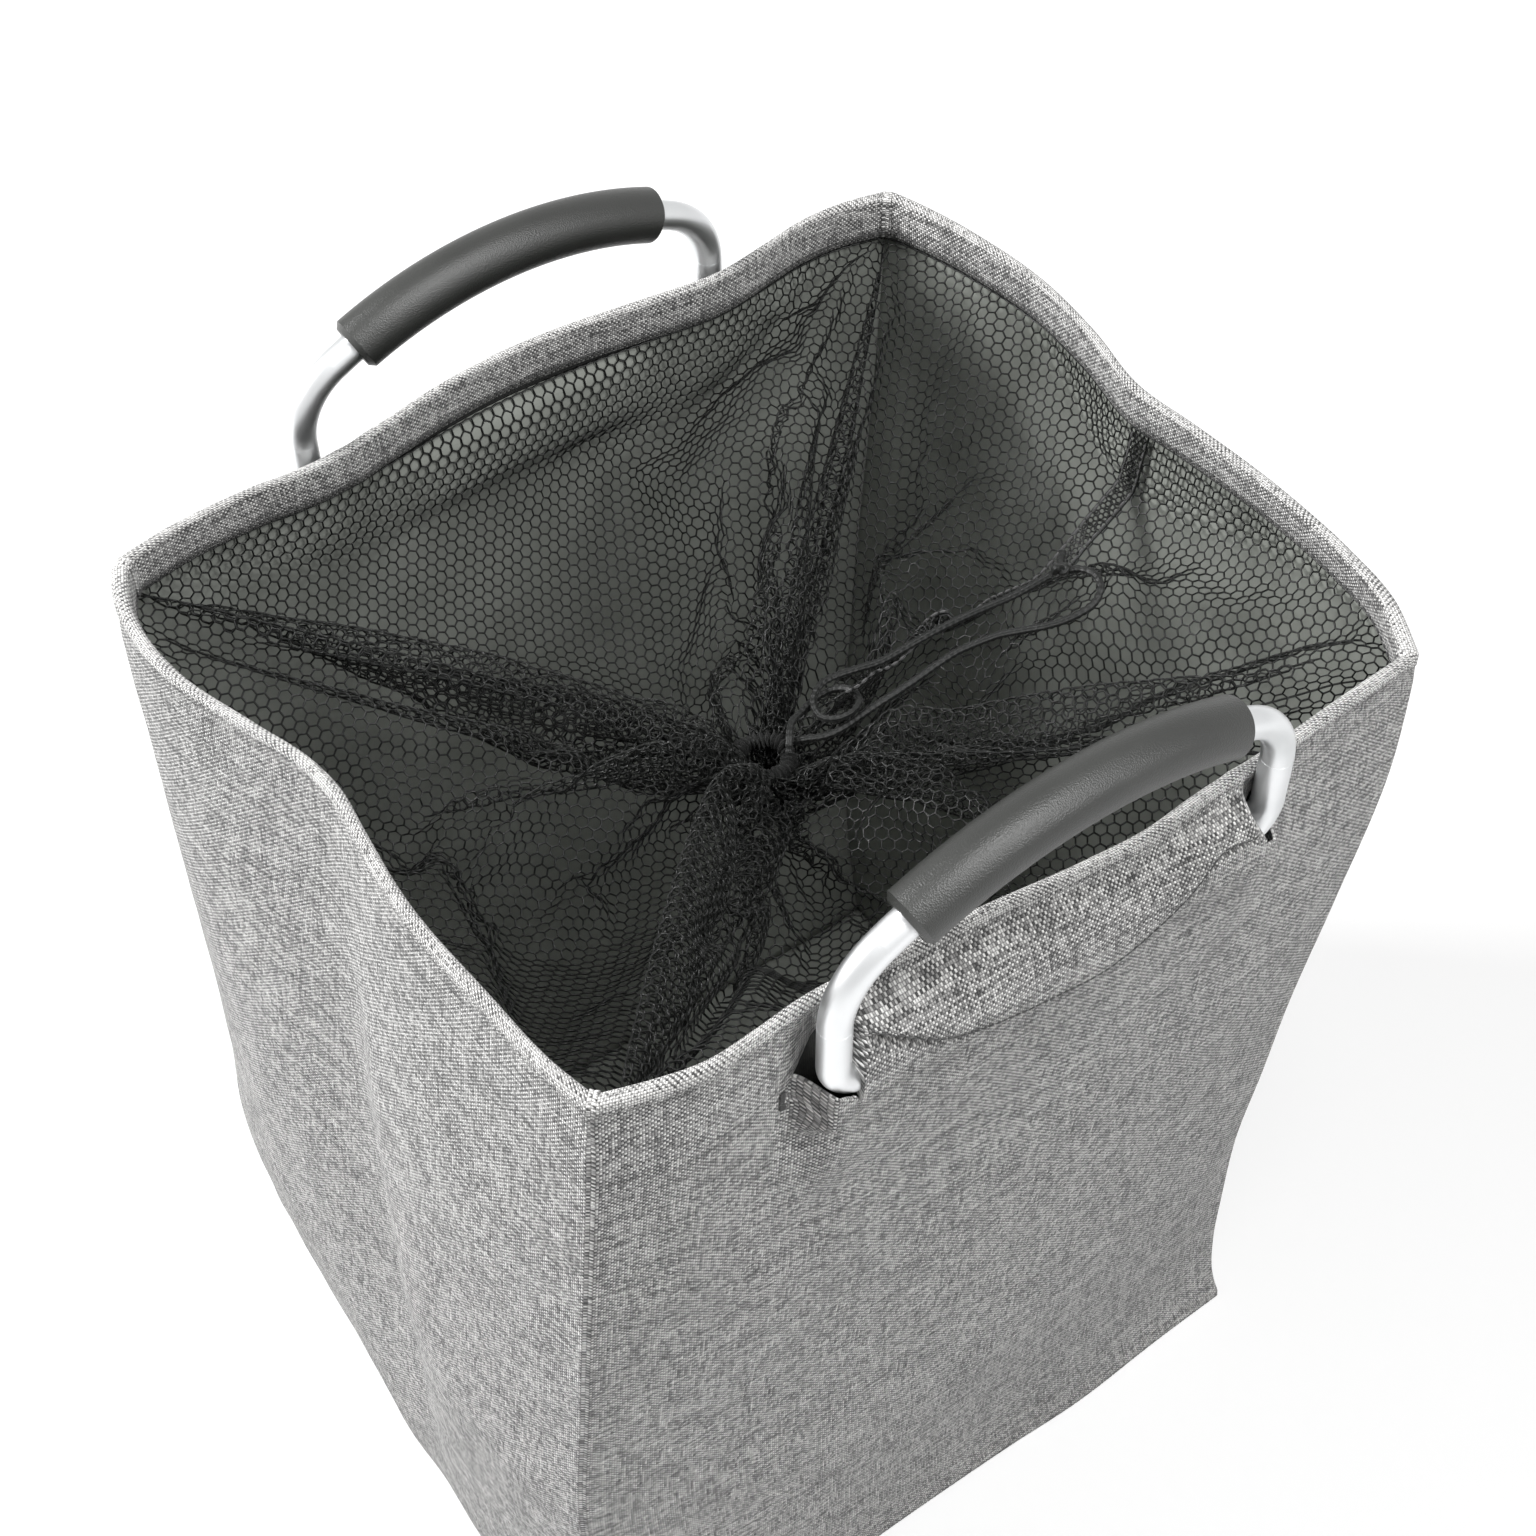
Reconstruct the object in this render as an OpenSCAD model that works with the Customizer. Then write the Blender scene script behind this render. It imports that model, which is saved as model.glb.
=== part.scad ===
// Soft laundry hamper: sewn fabric bag, coated lining, drawstring net cover and
// two folding aluminium handles. Millimetres, +Z up, origin at the centre of the base.

/* [Bag] */
// Width of the bag between its corner seams, along the handle sides
bag_w = 420; // [340:5:500]
// Depth of the bag between its corner seams, across the gussets
bag_d = 365; // [300:5:430]
// Height of the bag from the base to the top of the rim
bag_h = 560; // [480:5:640]
// Thickness of the foam-backed outer cloth
cloth_t = 1.2; // [0.8:0.1:2]
// Thickness of the coated lining
lining_t = 0.6; // [0.4:0.1:1]
// How far the handle sides bow outwards at mid-height
belly = 12; // [4:1:18]
// How far the rim of the handle sides bows outwards
rim_bow = 8; // [2:1:12]
// How far each half of a gusset puffs outwards
gusset_puff = 12; // [4:1:18]
// How far the fold line of a gusset is tucked inwards
gusset_tuck = 8; // [2:1:16]
// How much each wall turns in at the base
base_inset = 8; // [2:1:16]
// Height over which the walls turn in to the base
base_turn_h = 60; // [40:5:100]
// How far the standing bag leans to the left in its lower half
lean_x = 8; // [0:1:10]
// How far the standing bag leans backwards in its lower half
lean_y = 7; // [0:1:8]
// How much less the front bows than the back in its lower half
front_sag = 4; // [0:1:8]
// How far the left gusset swells out below, where its fold line runs out
left_swell = 12; // [0:1:16]

/* [Rim and seams] */
// Depth of the hem that is folded over the rim
hem_w = 20; // [14:1:30]
// Width of the tape over each corner seam
seam_tape_w = 9; // [6:1:14]
// Thickness of the seam tapes
tape_t = 1; // [0.6:0.1:1.2]
// Thickness of the stiff board in the base
board_t = 3; // [2:0.5:5]
// Gap left between cloth pieces that lie on each other
sewn_gap = 0.3; // [0.2:0.05:0.4]

/* [Handles] */
// Distance between the two legs of a handle, centre to centre
handle_span = 224; // [190:2:250]
// Rise of the handle from its hidden bar to the top of its arch, centre to centre
handle_rise = 97; // [88:1:120]
// Diameter of the aluminium tube
tube_d = 14; // [11:0.5:16]
// Wall of the aluminium tube
tube_wall = 1.2; // [0.8:0.1:2]
// Bend radius of the arch between its corners
crown_r = 200; // [180:5:300]
// Bend radius of the two upper corners
shoulder_r = 38; // [32:1:42]
// Bend radius of the two lower corners
foot_r = 16; // [14:1:20]
// Depth of the hidden bar below the top of the rim
bar_drop = 36; // [32:1:60]
// Gap between a leg and the rim that it stands against
leg_gap = 0.7; // [0.4:0.1:1.5]
// Gap between the hidden bar and the cloth channel around it
channel_gap = 1.3; // [1.1:0.1:2]
// Outer diameter of the foam grip
grip_d = 26; // [22:0.5:32]
// Length of the foam grip along its outside curve
grip_length = 176; // [120:2:178]
// Chamfer round the grip's ends
grip_end_r = 2.5; // [1:0.5:4]
// Length of the dowel that joins the two ends of the tube
dowel_length = 70; // [40:5:100]

/* [Net cover and drawcord] */
// Height of the gathered middle of the net above the base
gather_h = 455; // [430:5:480]
// Radius of the ring in which the drawcord runs
gather_r = 12; // [10:1:16]
// Thickness of the net
net_t = 0.8; // [0.6:0.1:1.2]
// Height of the pleats in the net
pleat_h = 7; // [3:1:10]
// Number of pleats on each side of the net
pleats_per_side = 4; // [3:1:6]
// Width of the net's side seam
net_seam_w = 9; // [6:1:12]
// Diameter of the drawcord
cord_d = 3.6; // [3:0.1:4]

/* [Hidden] */

// Colours
linen_grey = "#9b9a98";
lining_grey = "#454743";
thread_black = "#1b1b1b";
foam_grey = "#4a4b49";
aluminium = "#cfd0d2";
board_grey = "#77756f";

$fn = 48;

// Layers of the wall, as depths below its outer face
tape_depth = cloth_t + sewn_gap;
lining_depth = tape_depth + tape_t + sewn_gap;
header_depth = lining_depth + lining_t + sewn_gap;
leaf_depth = header_depth + net_t + sewn_gap;
rim_t = leaf_depth + cloth_t;
fold_z = bag_h - rim_t / 2;
hem_z = bag_h - hem_w;
tuck_top_z = hem_z + 0.7 * hem_w;

// Layers of the base, from the floor up
binding_z = cloth_t + sewn_gap;
board_z = binding_z + tape_t + sewn_gap;
base_lining_z = board_z + board_t + sewn_gap;
wall_lining_z = base_lining_z + lining_t + sewn_gap;

// ---- the bag's outer surface --------------------------------------------

function smooth(x) = let (c = min(1, max(0, x))) c * c * (3 - 2 * c);
function turn_in(z) = base_inset * pow(1 - min(1, z / base_turn_h), 2);
function half_w(z) = bag_w / 2 - turn_in(z);
function half_d(z) = bag_d / 2 - turn_in(z);
function half_length(long, z) = long ? half_w(z) : half_d(z);
function half_reach(long, z) = long ? half_d(z) : half_w(z);

// The cloth gives most in the bag's lower half, and not at the base and the handles
slump_top_z = 0.82 * bag_h;
function slump(z) = smooth(z / (0.35 * bag_h)) * smooth((slump_top_z - z) / (0.4 * bag_h));

// Each wall is drawn as the front and turned by a quarter turn a step. In its own
// frame the lean runs along it and inwards.
WALLS = ["front", "right", "back", "left"];
function turn_of(wall) = 90 * search([wall], WALLS)[0];
function lean(wall, z) =
    let (turn = turn_of(wall))
    slump(z) * [lean_y * sin(turn) - lean_x * cos(turn), lean_y * cos(turn) + lean_x * sin(turn)];

// Outward bow of a handle side, without the channel that holds the handle's bar
function plain_bow(wall, a, z) =
    (1 - pow(min(1, abs(a) / half_w(z)), 2))
    * (rim_bow * z / bag_h + belly * sin(180 * z / bag_h)
       - (wall == "front" ? front_sag * slump(z) : 0));

// Outward bow of a gusset: two puffed halves, with a fold line between them that is
// tucked in at the rim and runs out below
tuck_loss = 1.2;
function swell(wall, z) =
    wall == "left" ? left_swell * smooth((slump_top_z - z) / (0.5 * bag_h)) : 0;
function gusset_bow(wall, a, z) =
    let (u = min(1, abs(a) / half_d(z)), rise = smooth(z / (2 * base_turn_h)),
         tuck = gusset_tuck * (1 - tuck_loss * slump(z)) - swell(wall, z))
    rise * (gusset_puff * sin(180 * u) - tuck * pow(1 - u, 2));

// Where the handle's bar lies: it turns in the channel at the height of the slots,
// clear of the wall at its legs and of the channel's inner strip in the middle
bar_z = bag_h - bar_drop;
leg_x = handle_span / 2;
tube_r = tube_d / 2;
bar_y = half_d(bar_z) + tube_r + leg_gap
    + max(plain_bow("back", leg_x - tube_r, bar_z), plain_bow("back", 0, bar_z) - tape_depth);

// The slot in which a lower corner of the handle stands and swings
slot_in = leg_x - foot_r - 4;
slot_out = leg_x + tube_r + 4;
slot_bottom = bar_z - tube_r - leg_gap;
slot_back = half_d(bar_z) + plain_bow("back", slot_out, bar_z) - tape_depth;
slot_top = bar_z + 1.57 * tube_d;
slot_round = 4;

// The channel is a ridge of the outer cloth that wraps the bar between the slots
channel_under = 1.57 * tube_d;
channel_over = 1.5 * tube_d;
channel_peak = bar_y + tube_r + channel_gap + cloth_t;
channel_fade = slot_out + 2;
function channel_rise(a) = 1 - smooth((abs(a) - slot_in - 2) / (channel_fade - slot_in - 2));
function channel_slope(z) =
    let (reach = z < bar_z ? channel_under : channel_over,
         f = min(1, abs(z - bar_z) / reach))
    pow(cos(90 * f), 2);
function long_bow(wall, a, z) =
    let (plain = plain_bow(wall, a, z))
    plain + (channel_peak - half_d(z) - plain) * channel_rise(a) * channel_slope(z);

// A point of a wall in its own frame: a along the wall, depth below its outer face.
// A station is [share of the half length, millimetres], so that it can follow the
// corner seam or stay at a fixed distance from the middle.
mitre_gap = 0.15;
function along(long, station, depth, z) =
    station[0] * (half_length(long, z) - depth - mitre_gap) + station[1];
function is_long(wall) = wall == "front" || wall == "back";
function bow(wall, plain, a, z) =
    !is_long(wall) ? gusset_bow(wall, a, z)
    : plain ? plain_bow(wall, a, z) : long_bow(wall, a, z);
function wall_point(wall, plain, station, depth, z) =
    let (long = is_long(wall), a = along(long, station, depth, z),
         out = half_reach(long, z) + bow(wall, plain || depth > cloth_t, a, z) - depth,
         shift = lean(wall, z))
    [a + shift[0], shift[1] - out, z];

// ---- sheets ----------------------------------------------------------------

// A closed sheet between two grids of points of the same size, top and under
module thick_sheet(top, under) {
    rows = len(top);
    cols = len(top[0]);
    all = [for (g = [top, under]) for (row = g) for (p = row) p];
    function at(g, i, j) = (g * rows + i) * cols + j;
    faces = concat(
        [for (i = [0 : rows - 2]) for (j = [0 : cols - 2])
            each [[at(0, i, j), at(0, i + 1, j), at(0, i + 1, j + 1)],
                  [at(0, i, j), at(0, i + 1, j + 1), at(0, i, j + 1)],
                  [at(1, i, j), at(1, i + 1, j + 1), at(1, i + 1, j)],
                  [at(1, i, j), at(1, i, j + 1), at(1, i + 1, j + 1)]]],
        [for (i = [0 : rows - 2]) for (j = [0, cols - 1])
            let (a = at(0, i, j), b = at(0, i + 1, j), c = at(1, i + 1, j), d = at(1, i, j))
            each j == 0 ? [[a, c, b], [a, d, c]] : [[a, b, c], [a, c, d]]],
        [for (j = [0 : cols - 2]) for (i = [0, rows - 1])
            let (a = at(0, i, j), b = at(0, i, j + 1), c = at(1, i, j + 1), d = at(1, i, j))
            each i == 0 ? [[a, b, c], [a, c, d]] : [[a, c, b], [a, d, c]]]);
    polyhedron(points = all, faces = faces, convexity = 6);
}

// A closed band between two grids whose columns run round a full loop
module thick_loop(top, under) {
    rows = len(top);
    cols = len(top[0]);
    all = [for (g = [top, under]) for (row = g) for (p = row) p];
    function at(g, i, j) = (g * rows + i) * cols + (j % cols);
    faces = concat(
        [for (i = [0 : rows - 2]) for (j = [0 : cols - 1])
            each [[at(0, i, j), at(0, i + 1, j), at(0, i + 1, j + 1)],
                  [at(0, i, j), at(0, i + 1, j + 1), at(0, i, j + 1)],
                  [at(1, i, j), at(1, i + 1, j + 1), at(1, i + 1, j)],
                  [at(1, i, j), at(1, i, j + 1), at(1, i + 1, j + 1)]]],
        [for (j = [0 : cols - 1]) for (i = [0, rows - 1])
            let (a = at(0, i, j), b = at(0, i, j + 1), c = at(1, i, j + 1), d = at(1, i, j))
            each i == 0 ? [[a, b, c], [a, c, d]] : [[a, c, b], [a, d, c]]]);
    polyhedron(points = all, faces = faces, convexity = 6);
}

// A sheet that follows a wall. A ribbon is a list of [outer, inner] pairs, each a
// [depth, height], so that the sheet can also fold over the rim.
module wall_sheet(wall, stations, ribbon, plain = false) {
    function face(side) =
        [for (pair = ribbon)
            [for (s = stations) wall_point(wall, plain, s, pair[side][0], pair[side][1])]];
    rotate(turn_of(wall)) thick_sheet(face(0), face(1));
}

// A flat ribbon between two depths at the given heights
function flat_ribbon(outer, inner, heights) = [for (z = heights) [[outer, z], [inner, z]]];

// ---- outer cloth ------------------------------------------------------------

// The folded hem: over the rim in a half circle and down the inside
function hem_ribbon() = concat(
    [for (f = [0 : 45 : 180])
        [[rim_t / 2 * (1 - cos(f)), fold_z + rim_t / 2 * sin(f)],
         [rim_t / 2 - (rim_t / 2 - cloth_t) * cos(f), fold_z + (rim_t / 2 - cloth_t) * sin(f)]]],
    [[[rim_t, hem_z], [leaf_depth, hem_z]]]);

body_heights = [0, base_turn_h / 6, base_turn_h / 2.5, base_turn_h, 2 * base_turn_h,
                0.36 * bag_h, 0.53 * bag_h, 0.7 * bag_h, slump_top_z];
channel_heights = concat(
    [for (f = [1, 0.75, 0.5, 0.25]) bar_z - f * channel_under],
    [for (f = [0, 0.25, 0.5, 0.75, 1]) bar_z + f * channel_over]);

function mirrored(list) = concat([for (i = [len(list) - 1 : -1 : 0]) -list[i]], [0], list);
long_stations = concat(
    [[-1, 0], [-0.86, 0]],
    [for (a = mirrored([leg_x / 3, 0.65 * leg_x, slot_in + 2, leg_x - tube_r,
                        channel_fade])) [0, a]],
    [[0.86, 0], [1, 0]]);

// The net's pleats and the gussets share their columns, so their facets lie parallel
pleat_steps = 2 * pleats_per_side;
gusset_stations = [for (i = [-pleat_steps : pleat_steps]) [i / pleat_steps, 0]];

module slot_cutter() {
    for (side = [-1, 1])
        hull()
            for (a = [slot_in + slot_round, slot_out - slot_round])
                for (z = [slot_bottom + slot_round, slot_top - slot_round])
                    translate([side * a, -slot_back, z])
                        rotate([90, 0, 0])
                            cylinder(r = slot_round, h = channel_peak - slot_back + 1,
                                     $fn = 24);
}

module long_panel(wall) {
    color(linen_grey)
        difference() {
            wall_sheet(wall, long_stations,
                       concat(flat_ribbon(0, cloth_t, concat(body_heights, channel_heights)),
                              hem_ribbon()));
            rotate(turn_of(wall)) slot_cutter();
        }
}

module gusset(wall) {
    color(linen_grey)
        wall_sheet(wall, gusset_stations,
                   concat(flat_ribbon(0, cloth_t, body_heights), hem_ribbon()));
}

module front_panel() { long_panel("front"); }
module back_panel() { long_panel("back"); }
module left_gusset() { gusset("left"); }
module right_gusset() { gusset("right"); }

// ---- base -------------------------------------------------------------------

// A flat layer of the base that reaches the walls' inner faces at its own height
function layer_w(z, back) = 2 * (half_w(z) - cloth_t - sewn_gap - back);
function layer_d(z, back) = 2 * (half_d(z) - cloth_t - sewn_gap - back);

module rounded_plate(w, d, r, h) {
    linear_extrude(h) {
        square([w - 2 * r, d], center = true);
        square([w, d - 2 * r], center = true);
        for (x = [-1, 1]) for (y = [-1, 1])
            translate([x * (w / 2 - r), y * (d / 2 - r)]) circle(r);
    }
}

module base_panel() {
    color(linen_grey)
        linear_extrude(cloth_t)
            square([layer_w(0, 0), layer_d(0, 0)], center = true);
}

module base_binding() {
    color(thread_black)
        translate([0, 0, binding_z])
            linear_extrude(tape_t)
                difference() {
                    square([layer_w(0, 0), layer_d(0, 0)], center = true);
                    square([layer_w(0, seam_tape_w), layer_d(0, seam_tape_w)], center = true);
                }
}

module base_board() {
    board_back = 1;
    board_round = 10;
    color(board_grey)
        translate([0, 0, board_z])
            rounded_plate(layer_w(0, board_back), layer_d(0, board_back), board_round, board_t);
}

module base_lining() {
    color(lining_grey)
        translate([0, 0, base_lining_z])
            linear_extrude(lining_t)
                square([layer_w(0, 0), layer_d(0, 0)], center = true);
}

// ---- lining, seam tapes and channels ---------------------------------------

lining_heights = [wall_lining_z, base_turn_h / 2.5, base_turn_h, 2 * base_turn_h,
                  0.36 * bag_h, 0.53 * bag_h, 0.7 * bag_h, slump_top_z, hem_z, tuck_top_z];
long_lining_stations = [for (u = mirrored([0.2, 0.42, 0.64, 0.86, 1])) [u, 0]];

module wall_lining(wall) {
    color(lining_grey)
        wall_sheet(wall, is_long(wall) ? long_lining_stations : gusset_stations,
                   flat_ribbon(lining_depth, lining_depth + lining_t, lining_heights),
                   plain = true);
}

module front_lining() { wall_lining("front"); }
module back_lining() { wall_lining("back"); }
module left_lining() { wall_lining("left"); }
module right_lining() { wall_lining("right"); }

// The taped seam allowance of a corner, turned flat against the handle side
module corner_seam(wall, side) {
    color(thread_black)
        wall_sheet(wall, side < 0 ? [[-1, 0], [-1, seam_tape_w]] : [[1, -seam_tape_w], [1, 0]],
                   flat_ribbon(tape_depth, tape_depth + tape_t, lining_heights),
                   plain = true);
}

module front_left_seam() { corner_seam("front", -1); }
module front_right_seam() { corner_seam("front", 1); }
module back_left_seam() { corner_seam("back", 1); }
module back_right_seam() { corner_seam("back", -1); }

// The strip inside the outer cloth that closes the channel behind the bar
channel_margin = 4;
module channel_strip(wall) {
    color(lining_grey)
        wall_sheet(wall,
                   [for (a = mirrored([leg_x / 3, 0.65 * leg_x, slot_in + 2, channel_fade,
                                       channel_fade + channel_margin])) [0, a]],
                   flat_ribbon(tape_depth, tape_depth + tape_t,
                               [bar_z - channel_under - channel_margin, bar_z,
                                bar_z + channel_over + channel_margin]),
                   plain = true);
}

module front_channel() { channel_strip("front"); }
module back_channel() { channel_strip("back"); }

// Dense bars of thread that stop each slot from tearing at its ends
tack_w = 3;
tack_t = 0.7;
module bartacks(wall) {
    outer_tack = channel_fade + sewn_gap;
    inner_tack = slot_in - 1;
    color(thread_black)
        for (side = [0, 1])
            mirror([side, 0, 0]) {
                wall_sheet(wall, [[0, outer_tack], [0, outer_tack + tack_w]],
                           flat_ribbon(-sewn_gap - tack_t, -sewn_gap,
                                       [slot_bottom, (slot_bottom + slot_top) / 2, slot_top]),
                           plain = true);
                wall_sheet(wall, [[0, inner_tack - tack_w], [0, inner_tack]],
                           flat_ribbon(-sewn_gap - tack_t, -sewn_gap,
                                       [bar_z - 0.25 * channel_under, bar_z,
                                        bar_z + 0.25 * channel_over]));
            }
}
module front_bartacks() { bartacks("front"); }
module back_bartacks() { bartacks("back"); }

// ---- net cover ---------------------------------------------------------------

net_top_z = hem_z - 3;
casing_wall = 0.9;
casing_bore = cord_d / 2 + 0.4;
casing_r = casing_bore + casing_wall;
net_ring_r = gather_r + casing_r + sewn_gap;
neck_start = 0.72;
net_rows = [0.08, 0.2, 0.36, 0.54, neck_start];
neck_rows = [neck_start, 0.86, 1];
net_depth = header_depth + net_t;

// A point of the net's edge at a share of the half length of a wall
function turned(p, angle) =
    [p[0] * cos(angle) - p[1] * sin(angle), p[0] * sin(angle) + p[1] * cos(angle), p[2]];
function perimeter_point(wall, share, depth, z) =
    turned(wall_point(wall, true, [share, 0], depth, z), turn_of(wall));

// The net hangs in a funnel. Its spare cloth stands in ridges from the corners, and on
// the right under the drawcord, and sags between them: fall says how fast it drops.
corner_fall = 1.15;
cord_fall = 1.6;
valley_fall = 6;
function valley(wall, share) = wall == "right" ? 0 : 1 - share * share;
function fall(wall, share) =
    wall == "right" ? cord_fall + (corner_fall - cord_fall) * smooth((abs(share) - 0.6) / 0.4)
    : corner_fall + (valley_fall - corner_fall) * valley(wall, share);
function calm(wall, share) = wall == "right" ? smooth((abs(share) - 0.15) / 0.3) : 1;
function pleat(wall, share, s) =
    pleat_h * sin(180 * s)
    * (valley(wall, share) + sin(180 * pleats_per_side * (share + 1)) * calm(wall, share));
function funnel_z(wall, share, s) =
    gather_h + (net_top_z - gather_h) * pow(1 - s, fall(wall, share)) + pleat(wall, share, s);

function net_point(wall, share, s, lift) =
    let (p = perimeter_point(wall, share, net_depth, net_top_z),
         reach = norm([p[0], p[1]]),
         scale = (1 - s) + s * net_ring_r / reach)
    [p[0] * scale, p[1] * scale, funnel_z(wall, share, s) + lift];

net_places = [for (wall = WALLS) for (i = [-pleat_steps : pleat_steps - 1])
    [wall, i / pleat_steps]];
function net_ring(s, lift) = [for (p = net_places) net_point(p[0], p[1], s, lift)];
function header_ring(depth, z) = [for (p = net_places) perimeter_point(p[0], p[1], depth, z)];

module net_cover() {
    color(thread_black)
        thick_loop(
            concat([header_ring(net_depth, hem_z - sewn_gap), header_ring(net_depth, net_top_z)],
                   [for (s = net_rows) net_ring(s, 0)]),
            concat([header_ring(header_depth, hem_z - sewn_gap),
                    header_ring(header_depth, net_top_z - net_t)],
                   [for (s = net_rows) net_ring(s, -1.2 * net_t)]));
}

// The inner part of the net, gathered round the neck
module net_neck() {
    color(thread_black)
        thick_loop([for (s = neck_rows) net_ring(s, 0)],
                   [for (s = neck_rows) net_ring(s, -1.2 * net_t)]);
}

// The bound upper edge of the net, sewn in behind the hem on all four sides
module net_header() {
    color(thread_black)
        for (wall = WALLS)
            wall_sheet(wall, is_long(wall) ? long_lining_stations : gusset_stations,
                       flat_ribbon(header_depth, net_depth, [hem_z, tuck_top_z]),
                       plain = true);
}

// The seam that closes the net into a tube, down the middle of the right side
module net_seam() {
    seam_lift = 0.5;
    rows = concat([0.02], net_rows);
    reach = bag_w / 2;
    function share_at(y, s) =
        y / ((1 - s) + s * net_ring_r / reach) / (half_length(false, net_top_z) - net_depth);
    function row(s, lift) =
        [for (y = [-net_seam_w / 2, 0, net_seam_w / 2]) net_point("right", share_at(y, s), s, lift)];
    color(thread_black)
        thick_sheet([for (s = rows) row(s, seam_lift + tape_t)],
                    [for (s = rows) row(s, seam_lift)]);
}

// The casing round the gather, open where the drawcord comes out
cord_gap_angle = 35;
module ring_round_gather(outer, inner) {
    translate([0, 0, gather_h])
        rotate(cord_gap_angle)
            rotate_extrude(angle = 360 - 2 * cord_gap_angle)
                translate([gather_r, 0])
                    difference() {
                        circle(outer, $fn = 24);
                        if (inner > 0) circle(inner, $fn = 24);
                    }
}
module gather_casing() { color(thread_black) ring_round_gather(casing_r, casing_bore); }

// ---- drawcord ------------------------------------------------------------------

module drawcord_loop() { color(thread_black) ring_round_gather(cord_d / 2, 0); }

// Routes of the two free ends, from the casing to the knot
tail_a_route = [
    [9.8, 6.9, 455], [15, 1, 456.5], [21, -5, 459.5], [29, -10, 461], [38, -12, 463],
    [48, -13, 466], [58, -13, 467.5], [68, -14, 470], [78, -15, 473], [88, -16, 476.5],
    [98, -18, 480.5], [107, -22, 484.5], [115, -28, 490], [122, -36, 495.5], [130, -44, 500.5],
    [139, -49, 504.5], [149, -51, 508.5], [157, -47, 511.5], [160, -39, 511.5], [158, -32, 510.5],
    [154, -28, 509]];
tail_b_route = [
    [9.8, -6.9, 455], [13.5, -2, 461.2], [20, 5, 462], [29, 9, 460.5], [38, 11, 461.5],
    [47, 9, 464], [52, 2, 466.5], [50, -7, 468.5], [43, -11, 469], [35, -9, 467.5],
    [31, -2, 466], [34, 7, 466], [42, 12.5, 467], [51, 13, 467], [61, 10, 468],
    [71, 5, 471], [81, 2, 475], [91, -1, 479.5], [101, -4, 483.5], [111, -8, 488],
    [121, -13, 493], [130, -18, 498], [139, -22, 503.5], [146, -25, 508]];
knot_place = [150, -26, 510.5];

function unit(v) = v / norm(v);
function heading(route, i) =
    unit(route[min(i + 1, len(route) - 1)] - route[max(i - 1, 0)]);
module cord_tube(route) {
    sides = 8;
    rings = [for (i = [0 : len(route) - 1])
        let (t = heading(route, i), across = unit(cross(t, [0, 0, 1])), up = cross(across, t))
        [for (k = [0 : sides - 1])
            route[i] + cord_d / 2 * (cos(360 * k / sides) * across + sin(360 * k / sides) * up)]];
    last = len(route) - 1;
    points = concat([for (ring = rings) for (p = ring) p], [route[0], route[last]]);
    faces = concat(
        [for (i = [0 : last - 1]) for (k = [0 : sides - 1])
            let (a = i * sides + k, b = i * sides + (k + 1) % sides)
            each [[a, b, b + sides], [a, b + sides, a + sides]]],
        [for (k = [0 : sides - 1])
            each [[len(points) - 2, (k + 1) % sides, k],
                  [len(points) - 1, last * sides + k, last * sides + (k + 1) % sides]]]);
    polyhedron(points = points, faces = faces, convexity = 4);
}
module drawcord_tail_a() { color(thread_black) cord_tube(tail_a_route); }
module drawcord_tail_b() { color(thread_black) cord_tube(tail_b_route); }

// The tight knot that holds the two ends together, with one short tip past it
module drawcord_knot() {
    knot_r = 1.3 * cord_d;
    tip_length = 3.2 * cord_d;
    color(thread_black)
        translate(knot_place) {
            sphere(knot_r, $fn = 24);
            rotate([0, 90, 40]) cylinder(d = cord_d, h = tip_length, $fn = 24);
        }
}

// ---- handles ---------------------------------------------------------------------

// The loop lies in its own plane: x across, y up from the axis of the hidden bar
bend_in = sqrt(pow(crown_r, 2) - pow(leg_x, 2) - 2 * shoulder_r * (crown_r - leg_x));
crown_centre = [0, handle_rise - crown_r];
shoulder_centre = [leg_x - shoulder_r, handle_rise - crown_r + bend_in];
foot_centre = [leg_x - foot_r, foot_r];
shoulder_angle = atan2(bend_in, leg_x - shoulder_r);
butt_gap = 0.4;
grip_bore = tube_r + 0.1;
grip_angle = grip_length / (crown_r + grip_d / 2) * 180 / PI;

module handle_frame() { translate([0, -bar_y, bar_z]) rotate([90, 0, 0]) children(); }

module bend(centre, radius, from, to) {
    translate(centre) rotate(from)
        rotate_extrude(angle = to - from) translate([radius, 0]) children();
}

// A round rod of radius r along the whole loop, from one butt end to the other.
// Bending draws the upper corners in a little; they lap inside the parts they join.
module loop_rod(r, gap) {
    drawn_in = 0.05;
    lap = 1.2 / shoulder_r * 180 / PI;
    bend(crown_centre, crown_r, shoulder_angle, 180 - shoulder_angle) circle(r);
    for (side = [0, 1])
        mirror([side, 0, 0]) {
            bend(shoulder_centre, shoulder_r, -lap, shoulder_angle + lap) circle(r - drawn_in);
            translate([leg_x, foot_r, 0]) rotate([-90, 0, 0])
                cylinder(r = r, h = shoulder_centre[1] - foot_r);
            bend(foot_centre, foot_r, -90, 0) circle(r);
            translate([gap / 2, 0, 0]) rotate([0, 90, 0])
                cylinder(r = r, h = foot_centre[0] - gap / 2);
        }
}

module handle_tube() {
    color(aluminium)
        handle_frame()
            difference() {
                loop_rod(tube_r, butt_gap);
                loop_rod(tube_r - tube_wall, 0);
            }
}

module handle_dowel() {
    dowel_fit = 0.05;
    color(foam_grey)
        handle_frame()
            rotate([0, 90, 0])
                cylinder(r = tube_r - tube_wall - dowel_fit, h = dowel_length, center = true);
}

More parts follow.
